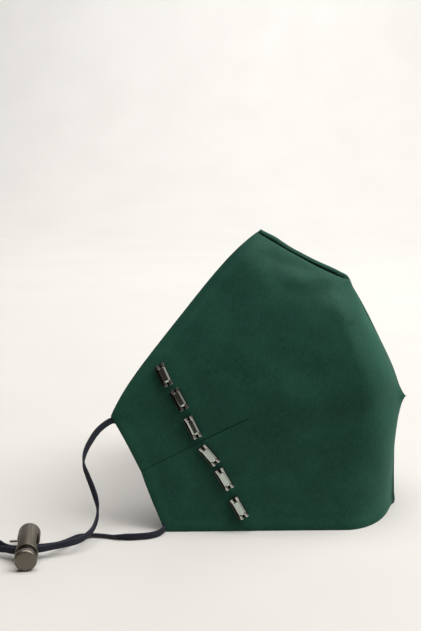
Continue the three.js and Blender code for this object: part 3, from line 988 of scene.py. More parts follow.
    def front_start(self, corner: Place, front_z: float) -> Place:
        """Find where a straight edge from a side-view corner meets the rounded front.

        Args:
            corner: Start of the edge.
            front_z: Height where it reaches the front line.

        Returns:
            The place's distance behind the front line, and its height.
        """
        corner_back = self.value("front", corner[1]) - corner[0]
        z = front_z
        for _ in range(self.meeting_rounds):
            nose = self.value("nose", z)
            z = front_z + (corner[1] - front_z) * nose / corner_back
        return nose, z

    def side_end(self, start: Place) -> Place:
        """Return the side-view place where the rounded front begins."""
        return self.value("front", start[1]) - start[0], start[1]

    def course(self, x: Array, z: Array, start: Place, front_z: float) -> tuple[Array, Array]:
        """Finish a course of the cloth with its columns round the front.

        Args:
            x: Side-view x of the side columns.
            z: Their heights.
            start: Distance behind the front line, and height, where the rounded front begins.
            front_z: Height where the course reaches the front line.

        Returns:
            Distance behind the front line, and height, of every column.
        """
        front_back = start[0] * (1 - np.cos(self.grid.front_turns()) ** (2 / self.fullness))
        front_heights = front_z + (start[1] - front_z) * front_back / start[0]
        back = np.concatenate([self.section("front", z) - x, front_back])
        return back, np.concatenate([z, front_heights])

    def hem_course(self) -> tuple[Array, Array]:
        """Return the course along the hem.

        Returns:
            Distance behind the front line, and height, of every column.
        """
        start = self.front_start(self.hem_corner, 0)
        shares = self.grid.side_shares(self.peak_share)
        return self.course(*between(self.hem_corner, self.side_end(start), shares), start, 0)

    def dart_course(self) -> tuple[Array, Array]:
        """Return the course along the cheek dart and on to the point of the nose.

        Returns:
            Distance behind the front line, and height, of every column.
        """
        start = self.front_start(self.dart_end, self.nose_z)
        end = self.side_end(start)
        shares = self.grid.side_shares(self.peak_share)
        on_x, on_z = between(self.dart_ear, self.dart_end, shares / self.dart_share)
        past_x, past_z = between(self.dart_end, end, (shares - self.dart_share) / (1 - self.dart_share))
        sewn = shares <= self.dart_share
        return self.course(np.where(sewn, on_x, past_x), np.where(sewn, on_z, past_z), start, self.nose_z)

    def top_course(self) -> tuple[Array, Array]:
        """Return the course along the bowed upper edge and the sagging nose edge.

        Returns:
            Distance behind the front line, and height, of every column.
        """
        start = self.front_start(self.peak, self.nose_top_z)
        end = self.side_end(start)
        shares = self.grid.side_shares(self.peak_share)
        upper = shares / self.peak_share
        upper_x, upper_z = between(self.ear_corner, self.peak, upper)
        chord = Vector((self.peak[0] - self.ear_corner[0], self.peak[1] - self.ear_corner[1])).normalized()
        bow = self.upper_bow * (1 - np.abs(2 * upper - 1) ** self.upper_roundness)
        nose_x, nose_z = between(self.peak, end, (shares - self.peak_share) / (1 - self.peak_share))
        on_upper = shares <= self.peak_share
        x = np.where(on_upper, upper_x - bow * chord.y, nose_x)
        z = np.where(on_upper, upper_z + bow * chord.x, nose_z)
        return self.sagged(*self.course(x, z, start, self.nose_top_z))

    def sagged(self, back: Array, z: Array) -> tuple[Array, Array]:
        """Lower the nose edge square to its own line, most in its middle.

        Args:
            back: Distances behind the front line.
            z: Heights.

        Returns:
            Distances and heights of the lowered edge.
        """
        front = self.section("front", z)
        line = self.nose_top()
        _, share = from_line(front - back, z, self.peak, line)
        share = np.clip(share, 0, 1)
        along = Vector((line[0] - self.peak[0], line[1] - self.peak[1])).normalized()
        sag = 4 * share * (1 - share) * self.nose_sag
        lowered = z - sag * along.x
        return self.section("front", lowered) - front + back - sag * along.y, lowered

    def places(self) -> tuple[Array, Array]:
        """Return the distance behind the front line and the height of every row and column of one cheek.

        Returns:
            Distances and heights, by row and column.
        """
        hem, dart, top = self.hem_course(), self.dart_course(), self.top_course()
        shares = self.grid.row_shares()[:, None]
        low, high = np.clip(shares, 0, 1), np.clip(shares - 1, 0, 1)
        back, z = (h + (d - h) * low + (t - d) * high for h, d, t in zip(hem, dart, top))
        return back, z

    def soft_relief(self, x: Array, z: Array, side: Side) -> Array:
        """Return the folds and faint waves of the whole wall at side-view places of one cheek."""
        folds = sum(fold.rise(x, z) for fold in self.folds)
        return folds + self.wave_height * sum(wave.rise(x, z, side) for wave in self.waves)

    def dart_groove(self, x: Array, z: Array) -> tuple[Array, Array]:
        """Return the depth of the sewn cheek dart and how dark its line is coloured, as thread with painted
        shade of the groove.

        Args:
            x: Side-view places along X.
            z: Their heights.

        Returns:
            Depth in mm, and the share of the dark line, thread with painted shade.
        """
        away, share = from_line(x, z, self.dart_ear, self.dart_end)
        along = np.clip(share, 0, 1)
        taper = np.clip((1 - share) / self.dart_taper, 0, 1)
        taper = taper * (self.dart_ear_depth + (1 - self.dart_ear_depth) * along)
        line = np.clip(1 - away / self.dart_half, 0, 1)
        dip = self.dart_dip * bell(away, self.dart_dip_spread)
        shown = self.dart_thread_and_shade[0] + (self.dart_thread_and_shade[1] - self.dart_thread_and_shade[0]) * along
        return (self.dart_depth * line ** self.dart_sharpness + dip) * taper, line * taper * shown

    def edge_relief(self, away: Array) -> Array:
        """Return the roll of the turned edge and the faint line where its allowance ends."""
        roll = self.edge_roll * bell(away - self.edge_roll_at, self.edge_roll_spread)
        return roll - self.edge_line * bell(away - self.edge_line_at, self.edge_line_spread)

    def nose_edge(self, x: Array, face: Array, from_top: Array) -> tuple[Array, Array]:
        """Shape the nose edge: the far one turns out and lies lower, and the near one dips at the nose top.

        Args:
            x: Side-view x of all points.
            face: The points.
            from_top: Their distance from the top edge.

        Returns:
            How far the wall moves out, and how far down.
        """
        _, share = from_line(x, face[..., 2], self.peak, self.nose_top())
        close = np.clip(1 - from_top / self.lip_run, 0, 1) ** 2
        far = close * (1 - smooth_share(share, *self.far_gone)) * (face[..., 1] > 0)
        near = close * smooth_share(share, *self.nose_notch_run) * (face[..., 1] <= 0)
        lip = self.far_lip * far * smooth_share(share, *self.far_lip_run)
        return lip, self.far_drop * far * smooth_share(share, *self.far_drop_run) + self.nose_notch * near

    def dark_lines(self, face: Array) -> tuple[Array, Array]:
        """Return how much of the front seam line, coloured as thread with painted shade, and of the painted
        shade along the chin fold lies at each point.

        Args:
            face: The points.

        Returns:
            Share of the seam line and share of the painted chin shade.
        """
        half = np.abs(face[..., 1])
        above_point = np.clip((face[..., 2] - self.nose_z) / self.front_seam_start, 0, 1)
        seam = np.clip(1 - half / self.front_seam_half, 0, 1) * above_point
        # Painted shade along the chin fold: near the middle line and low on the chin
        chin = smooth_share(face[..., 1], *self.chin_painted_shade_edge)
        chin = chin * (1 - smooth_share(half, *self.chin_painted_shade_gone))
        return seam, chin * self.chin_painted_shade * (1 - smooth_share(face[..., 2], *self.chin_painted_shade_top))

    def build(self, finish: CottonSateen) -> Piece:
        """Build the closed cloth wall.

        Args:
            finish: The cloth.

        Returns:
            The cloth body.
        """
        back, z = self.places()
        x = self.section("front", z) - back
        mirror = np.array([1, -1, 1])
        face = both(self.outer_face(back, z, Side.RIGHT) * mirror, self.outer_face(back, z, Side.LEFT))
        soft = both(self.soft_relief(x, z, Side.RIGHT), self.soft_relief(x, z, Side.LEFT))
        groove, thread = (both(depth, depth) for depth in self.dart_groove(x, z))
        half = np.abs(face[..., 1])
        seam, chin = self.dark_lines(face)

        along = np.linalg.norm(np.diff(face, axis=1), axis=-1)
        upward = np.linalg.norm(np.diff(face, axis=0), axis=-1)
        from_right = np.pad(np.cumsum(along, axis=1), ((0, 0), (1, 0)))
        from_hem = np.pad(np.cumsum(upward, axis=0), ((1, 0), (0, 0)))
        from_ear = np.minimum(from_right, from_right[:, -1:] - from_right)
        from_top = from_hem[-1:] - from_hem
        edge_share = 1.0
        for away in (from_ear, from_hem, from_top):
            edge_share = edge_share * np.sqrt(1 - (1 - np.clip(away / (self.wall / 2), 0, 1)) ** 2)
        nearest = np.minimum(np.minimum(from_ear, from_hem), from_top)

        normal = np.cross(np.gradient(face, axis=1), np.gradient(face, axis=0))
        normal[..., 2] *= np.clip(from_hem / self.hem_level, 0, 1)
        normal /= np.linalg.norm(normal, axis=-1, keepdims=True)
        held = np.clip(nearest / self.fold_start, self.fold_least, 1)
        set_in = self.wall / 2 * (self.border + (1 - self.border) * edge_share)
        lip, drop = self.nose_edge(both(x, x), face, from_top)
        middle = face - normal * (set_in - soft * held - lip)[..., None]
        middle[..., 2] -= drop
        thick = self.wall / 2 * edge_share
        relief = (self.edge_relief(nearest) - groove - self.front_seam_depth * seam) * edge_share
        outer = middle + normal * (thick + relief)[..., None]
        inner = middle - normal * thick[..., None]
        sign = np.sign(face[..., 1])
        inner[..., 1] = sign * np.maximum(sign * inner[..., 1], self.inner_least * half)
        outer[..., 2] = np.maximum(outer[..., 2], 0)
        inner[..., 2] = np.maximum(inner[..., 2], 0)

        rows, columns = half.shape
        outside = np.arange(rows * columns).reshape(rows, columns)
        inside = outside.copy()
        inside[1:-1, 1:-1] = rows * columns + np.arange((rows - 2) * (columns - 2)).reshape(rows - 2, -1)
        points = np.concatenate([outer.reshape(-1, 3), inner[1:-1, 1:-1].reshape(-1, 3)])
        faces = np.concatenate([grid_faces(outside), grid_faces(inside)[:, ::-1]])
        piece = mesh_piece("cloth_body", points, faces.tolist(), finish.material())
        across = from_right - from_right[:, columns // 2:columns // 2 + 1]
        flat = np.stack([across, from_hem], axis=-1)
        add_map(piece, CLOTH_UV, np.concatenate([flat.reshape(-1, 2), flat[1:-1, 1:-1].reshape(-1, 2)]))
        # Thread lines with painted shade of their grooves, and the painted shade of the chin fold, darken the
        # cloth's colour
        shown = np.maximum(np.maximum(thread, self.front_seam_thread_and_shade * seam), chin)
        add_shares(piece, SEAM_AND_SHADE, np.concatenate([shown.ravel(), np.zeros((rows - 2) * (columns - 2))]))
        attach(piece, "mask")
        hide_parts("mask_shell")
        LOG.info("%s: %d faces, half its surface is one side of the cloth", piece.name, len(faces))
        return piece


# Stones


@dataclass(frozen=True)
class Seat:
    """Place of one stone on the right cheek.

    x and z are its centre in side view. In degrees, turn is its lean below level, tip how far it faces up
    from the cloth and roll how far it turns forward about its long side.
    """

    x: float
    z: float
    turn: float
    tip: float = 0.0
    roll: float = 0.0


@dataclass(frozen=True)
class StoneRow:
    """Slanted row of six step-cut stones, each in a cup with two claws at either end."""

    seats: tuple[Seat, ...] = (
        Seat(x=-99.1, z=66.2, turn=64, roll=3),
        Seat(x=-91.8, z=56, turn=61, tip=11, roll=-6),
        Seat(x=-86, z=44.7, turn=63),
        Seat(x=-78.7, z=33, turn=48, tip=-3),
        Seat(x=-72, z=23, turn=59, tip=-2),
        Seat(x=-65.4, z=10.6, turn=59.5, tip=-1),
    )
    lift: float = 0.3
    length: float = 9.7
    width: float = 4.5
    height: float = 2.0
    cup_wall: float = 0.35
    aside: float = 0.35
    cup_floor: float = 0.5
    cup_corner: float = 0.6
    stone_gap: float = 0.3
    stone_short: float = 1.1
    stone_corner: float = 0.4
    girdle_z: float = 2.05
    girdle: float = 0.45
    crown: float = 0.25
    table_inset: float = 0.75
    pavilion: float = 1.0
    culet_inset: float = 1.0
    claw_width: float = 1.2
    claw_aside: float = 1.1
    claw_thick: float = 0.3
    claw_reach: float = 1.75
    claw_top: float = 2.95
    claw_flare: float = 5.0
    claw_taper: Point = (1.0, 0.92, 0.8)
    claw_tip_round: float = 0.35
    fine_round: float = 0.1
    cup_sharp: float = 50.0
    claw_sharp: float = 40.0
    smooth_angle: float = 35.0

    def place(self, cloth: ClothBody, seat: Seat) -> Matrix:
        """Return the place of a setting with its back on the cheek and its long side leaning with the row.

        Args:
            cloth: Body that carries the row.
            seat: Place on the cheek.

        Returns:
            Place of the setting in mm.
        """
        normal = cloth.cheek_normal(seat.x, seat.z, Side.RIGHT)
        normal.rotate(Matrix.Rotation(math.radians(-seat.tip), 3, "X"))
        lean = math.radians(seat.turn)
        long = Vector((math.cos(lean), 0, -math.sin(lean)))
        long = (long - normal * long.dot(normal)).normalized()
        turn = Matrix((long, normal.cross(long), normal)).transposed().to_4x4()
        centre = cloth.cheek_point(seat.x, seat.z, Side.RIGHT) + normal * self.lift
        return Matrix.Translation(centre) @ turn @ Matrix.Rotation(math.radians(-seat.roll), 4, "X")

    def model_cup(self) -> Piece:
        """Model the stamped cup: a block with rounded corners, hollowed from above.

        Returns:
            The cup, at the origin.
        """
        cup = start_block("cup", (self.length, self.width, self.height), (0, 0, self.height / 2))
        round_edges(cup, stands, self.cup_corner, segments=3)
        pick(cup, Pick.FACES, faces_up)
        bpy.ops.mesh.inset(thickness=self.cup_wall)
        extrude(z=self.cup_floor - self.height)
        soften(cup, self.fine_round, self.cup_sharp)
        return cup

    def model_claw(self, end: int, side: int) -> Piece:
        """Model one claw: a strip that rises outside the cup's end and folds over the stone's crown.

        Args:
            end: End of the cup along X, 1 or -1.
            side: Side of it along Y, 1 or -1.

        Returns:
            The claw.
        """
        middle_y = side * self.claw_aside
        upright = self.claw_top - self.cup_floor - self.claw_thick
        claw = start_block("claw", (self.claw_thick, self.claw_width, upright),
                           (end * self.length / 2, middle_y, self.cup_floor + upright / 2))
        pick(claw, Pick.FACES, faces_up)
        extrude(z=self.claw_thick)
        roof = self.claw_top - self.claw_thick
        pick(claw, Pick.FACES, lambda f: f.normal.x * end < -SQUARE and f.calc_center_median().z > roof)
        extrude(x=-end * self.claw_reach)
        bpy.ops.transform.resize(value=self.claw_taper)
        tip = self.length / 2 - self.claw_reach
        round_edges(claw, lambda e: stands(e) and edge_middle(e).x * end < tip + NEAR, self.claw_tip_round,
                    segments=3)
        bpy.ops.mesh.select_all(action="SELECT")
        bpy.ops.transform.rotate(value=math.radians(self.claw_flare) * -end * side, orient_axis="Z",
                                 center_override=(end * tip, middle_y, 0))
        soften(claw, self.fine_round, self.claw_sharp)
        add_shares(claw, CLAW, np.ones(len(claw.data.vertices)))
        return claw

    def model_setting(self) -> Piece:
        """Model the cup with its four claws.

        Returns:
            The setting, at the origin.
        """
        claws = [self.model_claw(end, side) for end in (-1, 1) for side in (-1, 1)]
        for claw in claws:
            claw.data.transform(Matrix.Translation((0, self.aside, 0)))
        setting = self.model_cup()
        take(setting, *claws)
        bpy.ops.object.join()
        smooth_by_angle(setting, self.smooth_angle)
        return setting

    def model_stone(self) -> Piece:
        """Model the step-cut stone, short of both claws: girdle, low crown up to the table, and pavilion.

        Returns:
            The stone, at the place that it has in its setting.
        """
        width = self.width - 2 * (self.aside + self.stone_gap)
        length = self.length - 2 * (self.stone_gap + self.stone_short)
        centre = (0, self.aside, self.girdle_z + self.girdle / 2)
        stone = start_block("stone", (length, width, self.girdle), centre)
        round_edges(stone, stands, self.stone_corner, segments=1)
        facets = ((faces_up, self.table_inset, self.crown), (faces_down, self.culet_inset, -self.pavilion))
        for test, inset, rise in facets:
            pick(stone, Pick.FACES, test)
            bpy.ops.mesh.inset(thickness=inset)
            bpy.ops.transform.translate(value=(0, 0, rise))
        bpy.ops.object.mode_set(mode="OBJECT")
        return stone

    def build(self, cloth: ClothBody, plate: PlatedSetting, glass: MirroredGlass) -> list[Piece]:
        """Build the row on the right cheek.

        Args:
            cloth: Body that carries the row.
            plate: Finish of the settings.
            glass: Finish of the stones.

        Returns:
            Settings and stones, in pairs down the row.
        """
        pieces = []
        setting_model, stone_model = self.model_setting(), self.model_stone()
        plate_material, glass_material = plate.material(), glass.material()
        for number, seat in enumerate(self.seats, start=1):
            place = self.place(cloth, seat)
            kinds = (("setting", setting_model, plate_material, "gunmetal"),
                     ("stone", stone_model, glass_material, "smoky_glass"))
            for kind, model, material, slot in kinds:
                piece = copy_piece(model, f"{kind}_piece_{number}")
                settle(piece, place, material)
                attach(piece, "mask")
                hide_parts(f"{kind}_{number}")
                pieces.append(piece)
            LOG.info("stone %d set on the cheek at x %.1f, z %.1f", number, seat.x, seat.z)
        for model in (setting_model, stone_model):
            bpy.data.objects.remove(model)
        return pieces


# Cord locks


@dataclass(frozen=True)
class CordLock:
    """Barrel cord lock, measured along its axis from the face of the plunger's head."""

    side: Side
    x: float
    y: float
    heading: float
    wire: bool
    barrel_radius: float = 4.6
    bore_radius: float = 3.7
    barrel_start: float = 5.9
    barrel_end: float = 26.1
    bore_end: float = 24.7
    end_round: float = 1.5
    rim_round: float = 0.35
    head_radius: float = 4.5
    head_thick: float = 2.5
    head_round: float = 1.1
    head_dome: float = 0.12
    neck_radius: float = 2.4
    neck_end: float = 6.2
    shoulder: float = 0.35
    stem_radius: float = 3.35
    stem_end: float = 14.6
    slot_start: float = 8.9
    slot_end: float = 18.9
    window_start: float = 7.1
    window_end: float = 12.2
    slot_height: float = 5.4
    window_height: float = 4.2
    opening_corner: float = 0.6
    strap_at: float = 10.7
    strap_lead: float = 0.6
    axis_z: float = 4.543
    wire_radius: float = 0.45
    wire_at: float = 18.3
    wire_inner: float = -2.0
    wire_outer: float = 7.6
    wire_sides: int = 16
    round_sides: int = 64
    dome_inset: float = 1.5
    fine_round: float = 0.12
    sharp: float = 45.0
    smooth_angle: float = 30.0

    def place(self) -> Matrix:
        """Return the lock's place: modelled along +Z with its floor side towards +X.

        Returns:
            Place of the lock in mm.
        """
        stand = Matrix.Translation((self.x, self.y, 0)) @ Matrix.Rotation(math.radians(self.heading), 4, "Z")
        lie = Matrix(((0, 0, 1, 0), (0, 1, 0, 0), (-1, 0, 0, self.axis_z), (0, 0, 0, 1)))
        return stand @ lie

    def strand(self, shift: float, way: int) -> Route:
        """Return the places of one strand before, inside and after the lock.

        Args:
            shift: Its place along the axis from the middle of both strands.
            way: 1 along the lock's own Y, or -1 against it.

        Returns:
            Three points.
        """
        aside = self.barrel_radius + self.strap_lead
        along = self.strap_at + shift
        return tuple(tuple(self.place() @ Vector((0, y, along))) for y in (-way * aside, 0, way * aside))

    def cut_opening(self, piece: Piece, start: float, end: float, height: float) -> None:
        """Cut an opening with rounded corners right across a piece, from start to end along the axis.

        Args:
            piece: Piece that is cut.
            start: Start of the opening.
            end: End of it.
            height: Its height.
        """
        bpy.ops.object.mode_set(mode="OBJECT")
        size = (height, 4 * self.barrel_radius, end - start)
        cutter = start_block("cutter", size, (0, 0, (start + end) / 2))
        round_edges(cutter, lambda e: abs(edge_along(e).y) > SQUARE, self.opening_corner, segments=4)
        apply_modifier(piece, "BOOLEAN", object=cutter, operation="DIFFERENCE", solver="EXACT")
        bpy.data.objects.remove(cutter)

    def start_round(self, name: str, radius: float, start: float, end: float) -> Piece:
        """Start a round piece of the lock, from start to end along the axis.

        Args:
            name: Name of the piece, without its side.
            radius: Its radius.
            start: Start along the axis.
            end: End along it.

        Returns:
            The piece, in edit mode.
        """
        return start_piece(f"{self.side.label}_{name}", bpy.ops.mesh.primitive_cylinder_add, radius=radius,
                           vertices=self.round_sides, depth=end - start,
                           location=(0, 0, start + (end - start) / 2))

    def wrap_map(self, piece: Piece) -> None:
        """Give a piece the lock's map: round the axis and along it, in mm.

        Args:
            piece: Piece that takes the map.
        """
        mesh = piece.data
        wrap = mesh.uv_layers.get(LOCK_UV) or mesh.uv_layers.new(name=LOCK_UV)
        for face in mesh.polygons:
            middle = math.atan2(face.center.y, -face.center.x)
            for corner in face.loop_indices:
                point = mesh.vertices[mesh.loops[corner].vertex_index].co
                turn = math.atan2(point.y, -point.x) - middle
                turn = middle + math.remainder(turn, 2 * math.pi)
                wrap.data[corner].uv = (turn * self.barrel_radius, point.z)

    def model_barrel(self) -> Piece:
        """Model the barrel: closed and rounded at its far end, bored from its open end and slotted across.

        Returns:
            The barrel, along +Z.
        """
        barrel = self.start_round("barrel", self.barrel_radius, self.barrel_start, self.barrel_end)
        round_edges(barrel, lambda e: edge_middle(e).z > self.barrel_end - NEAR, self.end_round, segments=6)
        pick(barrel, Pick.FACES, faces_down)
        bpy.ops.mesh.inset(thickness=self.barrel_radius - self.bore_radius)
        extrude(z=self.bore_end - self.barrel_start)
        round_edges(barrel, lambda e: edge_middle(e).z < self.barrel_start + NEAR
                    and abs(edge_along(e).dot(edge_middle(e).normalized())) < ACROSS,
                    self.rim_round, segments=3)
        self.cut_opening(barrel, self.slot_start, self.slot_end, self.slot_height)
        soften(barrel, self.fine_round, self.sharp)
        return barrel

    def model_plunger(self) -> Piece:
        """Model the plunger: a low domed head with a rounded rim, a narrow neck and a windowed stem.

        Returns:
            The plunger, along +Z.
        """
        plunger = self.start_round("plunger", self.head_radius, 0, self.head_thick)
        pick(plunger, Pick.FACES, faces_up)
        bpy.ops.mesh.inset(thickness=self.head_radius - self.neck_radius)
        extrude(z=self.neck_end - self.head_thick)
        extrude(z=self.shoulder)
        widen = self.stem_radius / self.neck_radius
        bpy.ops.transform.resize(value=(widen, widen, 1), center_override=(0, 0, self.neck_end))
        extrude(z=self.stem_end - self.neck_end - self.shoulder)
        round_edges(plunger, lambda e: edge_middle(e).z < NEAR, self.head_round, segments=5)
        pick(plunger, Pick.FACES, faces_down)
        bpy.ops.mesh.inset(thickness=self.dome_inset)
        bpy.ops.transform.translate(value=(0, 0, -self.head_dome))
        self.cut_opening(plunger, self.window_start, self.window_end, self.window_height)
        soften(plunger, self.fine_round, self.sharp)
        return plunger

    def model_wire(self) -> Piece:
        """Model the end of the spring wire that stands out of the slot: a rod with a rounded tip.

        Returns:
            The wire, along +Y.
        """
        wire = start_piece(f"{self.side.label}_wire", bpy.ops.mesh.primitive_circle_add,
                           radius=self.wire_radius, vertices=self.wire_sides, fill_type="NGON",
                           rotation=(math.pi / 2, 0, 0), location=(0, self.wire_inner, self.wire_at))
        bpy.ops.mesh.select_all(action="SELECT")
        extrude(y=self.wire_outer - self.wire_inner)
        bpy.ops.mesh.select_all(action="SELECT")
        bpy.ops.mesh.normals_make_consistent(inside=False)
        round_edges(wire, lambda e: edge_middle(e).y > self.wire_outer - NEAR, self.wire_radius / 2,
                    segments=3)
        bpy.ops.object.mode_set(mode="OBJECT")
        return wire

    def build(self, material: Material) -> list[Piece]:
        """Build the lock's pieces and set them on their bodies.

        Args:
            material: Finish of the whole lock.

        Returns:
            Barrel, plunger and, where it shows, the wire.
        """
        side = self.side.label
        made = [(self.model_barrel(), "mask", f"{side}_lock_barrel"),
                (self.model_plunger(), f"{side}_plunger", f"{side}_lock_plunger")]
        if self.wire:
            made.append((self.model_wire(), "mask", f"{side}_lock_wire"))
        for piece, body, node in made:
            smooth_by_angle(piece, self.smooth_angle)
            self.wrap_map(piece)
            settle(piece, self.place(), material)
            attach(piece, body)
            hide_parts(node)
            LOG.info("%s: %d faces", piece.name, len(piece.data.polygons))
        return [piece for piece, _, _ in made]


# Ear loops


def spline_points(knots: Array, step: float, fineness: int) -> Array:
    """Follow a centripetal Catmull-Rom curve through knots.

    Args:
        knots: Points that the curve passes, one row each.
        step: Distance between the points returned.
        fineness: Number of points between two knots from which the curve is measured.

    Returns:
        Evenly spaced points along the curve.
    """
    ends = np.concatenate([2 * knots[:1] - knots[1:2], knots, 2 * knots[-1:] - knots[-2:-1]])
    gaps = np.sqrt(np.linalg.norm(np.diff(ends, axis=0), axis=1))
    share = np.linspace(0, 1, fineness, endpoint=False)[:, None]
    pieces = []
    for i in range(1, len(ends) - 2):
        before, start, end, after = ends[i - 1:i + 3]
        gap_before, gap, gap_after = gaps[i - 1:i + 2]
        leave = gap * ((start - before) / gap_before - (end - before) / (gap_before + gap)
                       + (end - start) / gap)
        arrive = gap * ((end - start) / gap - (after - start) / (gap + gap_after) + (after - end) / gap_after)
        bend = 2 * (start - end) + leave + arrive
        turn = 3 * (end - start) - 2 * leave - arrive
        pieces.append(start + share * (leave + share * (turn + share * bend)))
    dense = np.concatenate([*pieces, knots[-1:]])
    run = np.concatenate([[0], np.cumsum(np.linalg.norm(np.diff(dense, axis=0), axis=1))])
    spaced = np.linspace(0, run[-1], round(run[-1] / step) + 1)
    return np.stack([np.interp(spaced, run, dense[:, axis]) for axis in range(3)], axis=1)


@dataclass(frozen=True)
class EarLoop:
    """Flat elastic loop, sewn in at both corners of the ear edge and passed twice through its lock.

    leans are places along the strap in mm from its ear end, each with the lean from upright in degrees.
    """

    lock: CordLock
    from_ear: Route
    bight: Route
    to_hem: Route
    leans: tuple[tuple[float, float], ...] = ((0.0, 0.0),)
    ear_sewn: Place = (-118.0, 47.0)
    hem_sewn: Place = (-95.6, 1.7)
    strand_spacing: float = 1.7
    width: float = 2.9
    thick: float = 1.0
    ribs: int = 5
    rib_height: float = 0.06
    rib_points: int = 4
    edge_points: int = 7
    step: float = 0.8
    fineness: int = 40
    twist_run: float = 3.0

    def section(self) -> Array:
        """Return the strap's section as (through, across) points: ribbed flats with rounded edges.

        Returns:
            Points round the section, one row each.
        """
        flat = self.width / 2 - self.thick / 2
        across = np.linspace(-flat, flat, self.rib_points * self.ribs + 1)
        rise = np.cos(math.pi * (1 + self.ribs * across / flat))
        half = self.thick / 2 - self.rib_height * (1 + rise) / 2
        turns = np.linspace(0, math.pi, self.edge_points)[1:-1]
        edge_across = flat + self.thick / 2 * np.sin(turns)
        edge_through = self.thick / 2 * np.cos(turns)
        front = np.stack([half, across], axis=1)
        far = np.stack([edge_through, edge_across], axis=1)
        return np.concatenate([front, far, -front, -far])

    def knots(self, cloth: ClothBody) -> Array:
        """Return the points of the whole route, from inside the ear corner to inside the hem corner.

        Args:
            cloth: Body that the loop is sewn to.

        Returns:
            Points in mm, one row each.
        """
        side = self.lock.side
        half = self.strand_spacing / 2
        return np.array([
            cloth.wall_middle(*self.ear_sewn, side), *self.from_ear, *self.lock.strand(-half, 1), *self.bight,
            *self.lock.strand(half, -1), *self.to_hem, cloth.wall_middle(*self.hem_sewn, side),
        ])

    def build(self, cloth: ClothBody, material: Material,
              lock_pieces: list[Piece]) -> Piece:
        """Build the strap along its route.

        Args:
            cloth: Body that it is sewn to.
            material: Finish of the elastic.
            lock_pieces: Pieces of the lock; not used.

        Returns:
            The strap.
        """
        path = spline_points(self.knots(cloth), self.step, self.fineness)
        tangent = np.gradient(path, axis=0)
        tangent /= np.linalg.norm(tangent, axis=1, keepdims=True)
        flat = np.cross(tangent, (0, 0, 1))
        flat /= np.linalg.norm(flat, axis=1, keepdims=True)
        reach = round(2 * self.twist_run / self.step)
        weights = np.exp(-((np.arange(-reach, reach + 1) * self.step / self.twist_run) ** 2) / 2)
        padded = np.pad(flat, ((reach, reach), (0, 0)), mode="edge")
        flat = np.stack([np.convolve(padded[:, axis], weights, mode="valid") for axis in range(3)], axis=1)
        flat -= tangent * np.sum(flat * tangent, axis=1, keepdims=True)
        flat /= np.linalg.norm(flat, axis=1, keepdims=True)
        broad = np.cross(tangent, flat)
        marks, degrees = zip(*self.leans)
        lean = np.radians(np.interp(np.arange(len(path)) * self.step, marks, degrees))[:, None]
        flat, broad = flat * np.cos(lean) + broad * np.sin(lean), broad * np.cos(lean) - flat * np.sin(lean)
        section = self.section()
        rings = path[:, None] + flat[:, None] * section[None, :, :1] + broad[:, None] * section[None, :, 1:]
        count, round_count = rings.shape[:2]
        number = np.arange(count * round_count).reshape(count, round_count)
        after = np.roll(number, -1, axis=1)
        skin = np.stack([number[:-1], after[:-1], after[1:], number[1:]], axis=-1).reshape(-1, 4)
        faces = skin.tolist() + [number[0, ::-1].tolist(), number[-1].tolist()]
        side = self.lock.side.label
        strap = mesh_piece(f"{side}_elastic", rings.reshape(-1, 3), faces, material)
        along = np.repeat(np.arange(count) * self.step, round_count)
        add_map(strap, STRAP_UV, np.stack([along, np.tile(section[:, 1], count)], axis=1))
        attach(strap, "mask")
        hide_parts(f"{side}_ear_loop")
        return strap


# Studio


@dataclass(frozen=True)
class SoftLight:
    """One soft square light: its place, the point that it faces and its side in mm, watts and colour."""

    name: str
    at: Point
    aim: Point
    size: float
    power: float
    colour: str

    def build(self) -> None:
        """Add the light."""
        data = bpy.data.lights.new(self.name, "AREA")
        data.size = self.size * MM
        data.energy = self.power
        data.color = linear(self.colour)[:3]
        light = bpy.data.objects.new(self.name, data)
        light.location = Vector(self.at) * MM
        light.rotation_euler = (Vector(self.aim) - Vector(self.at)).to_track_quat("-Z", "Y").to_euler()
        bpy.context.scene.collection.objects.link(light)


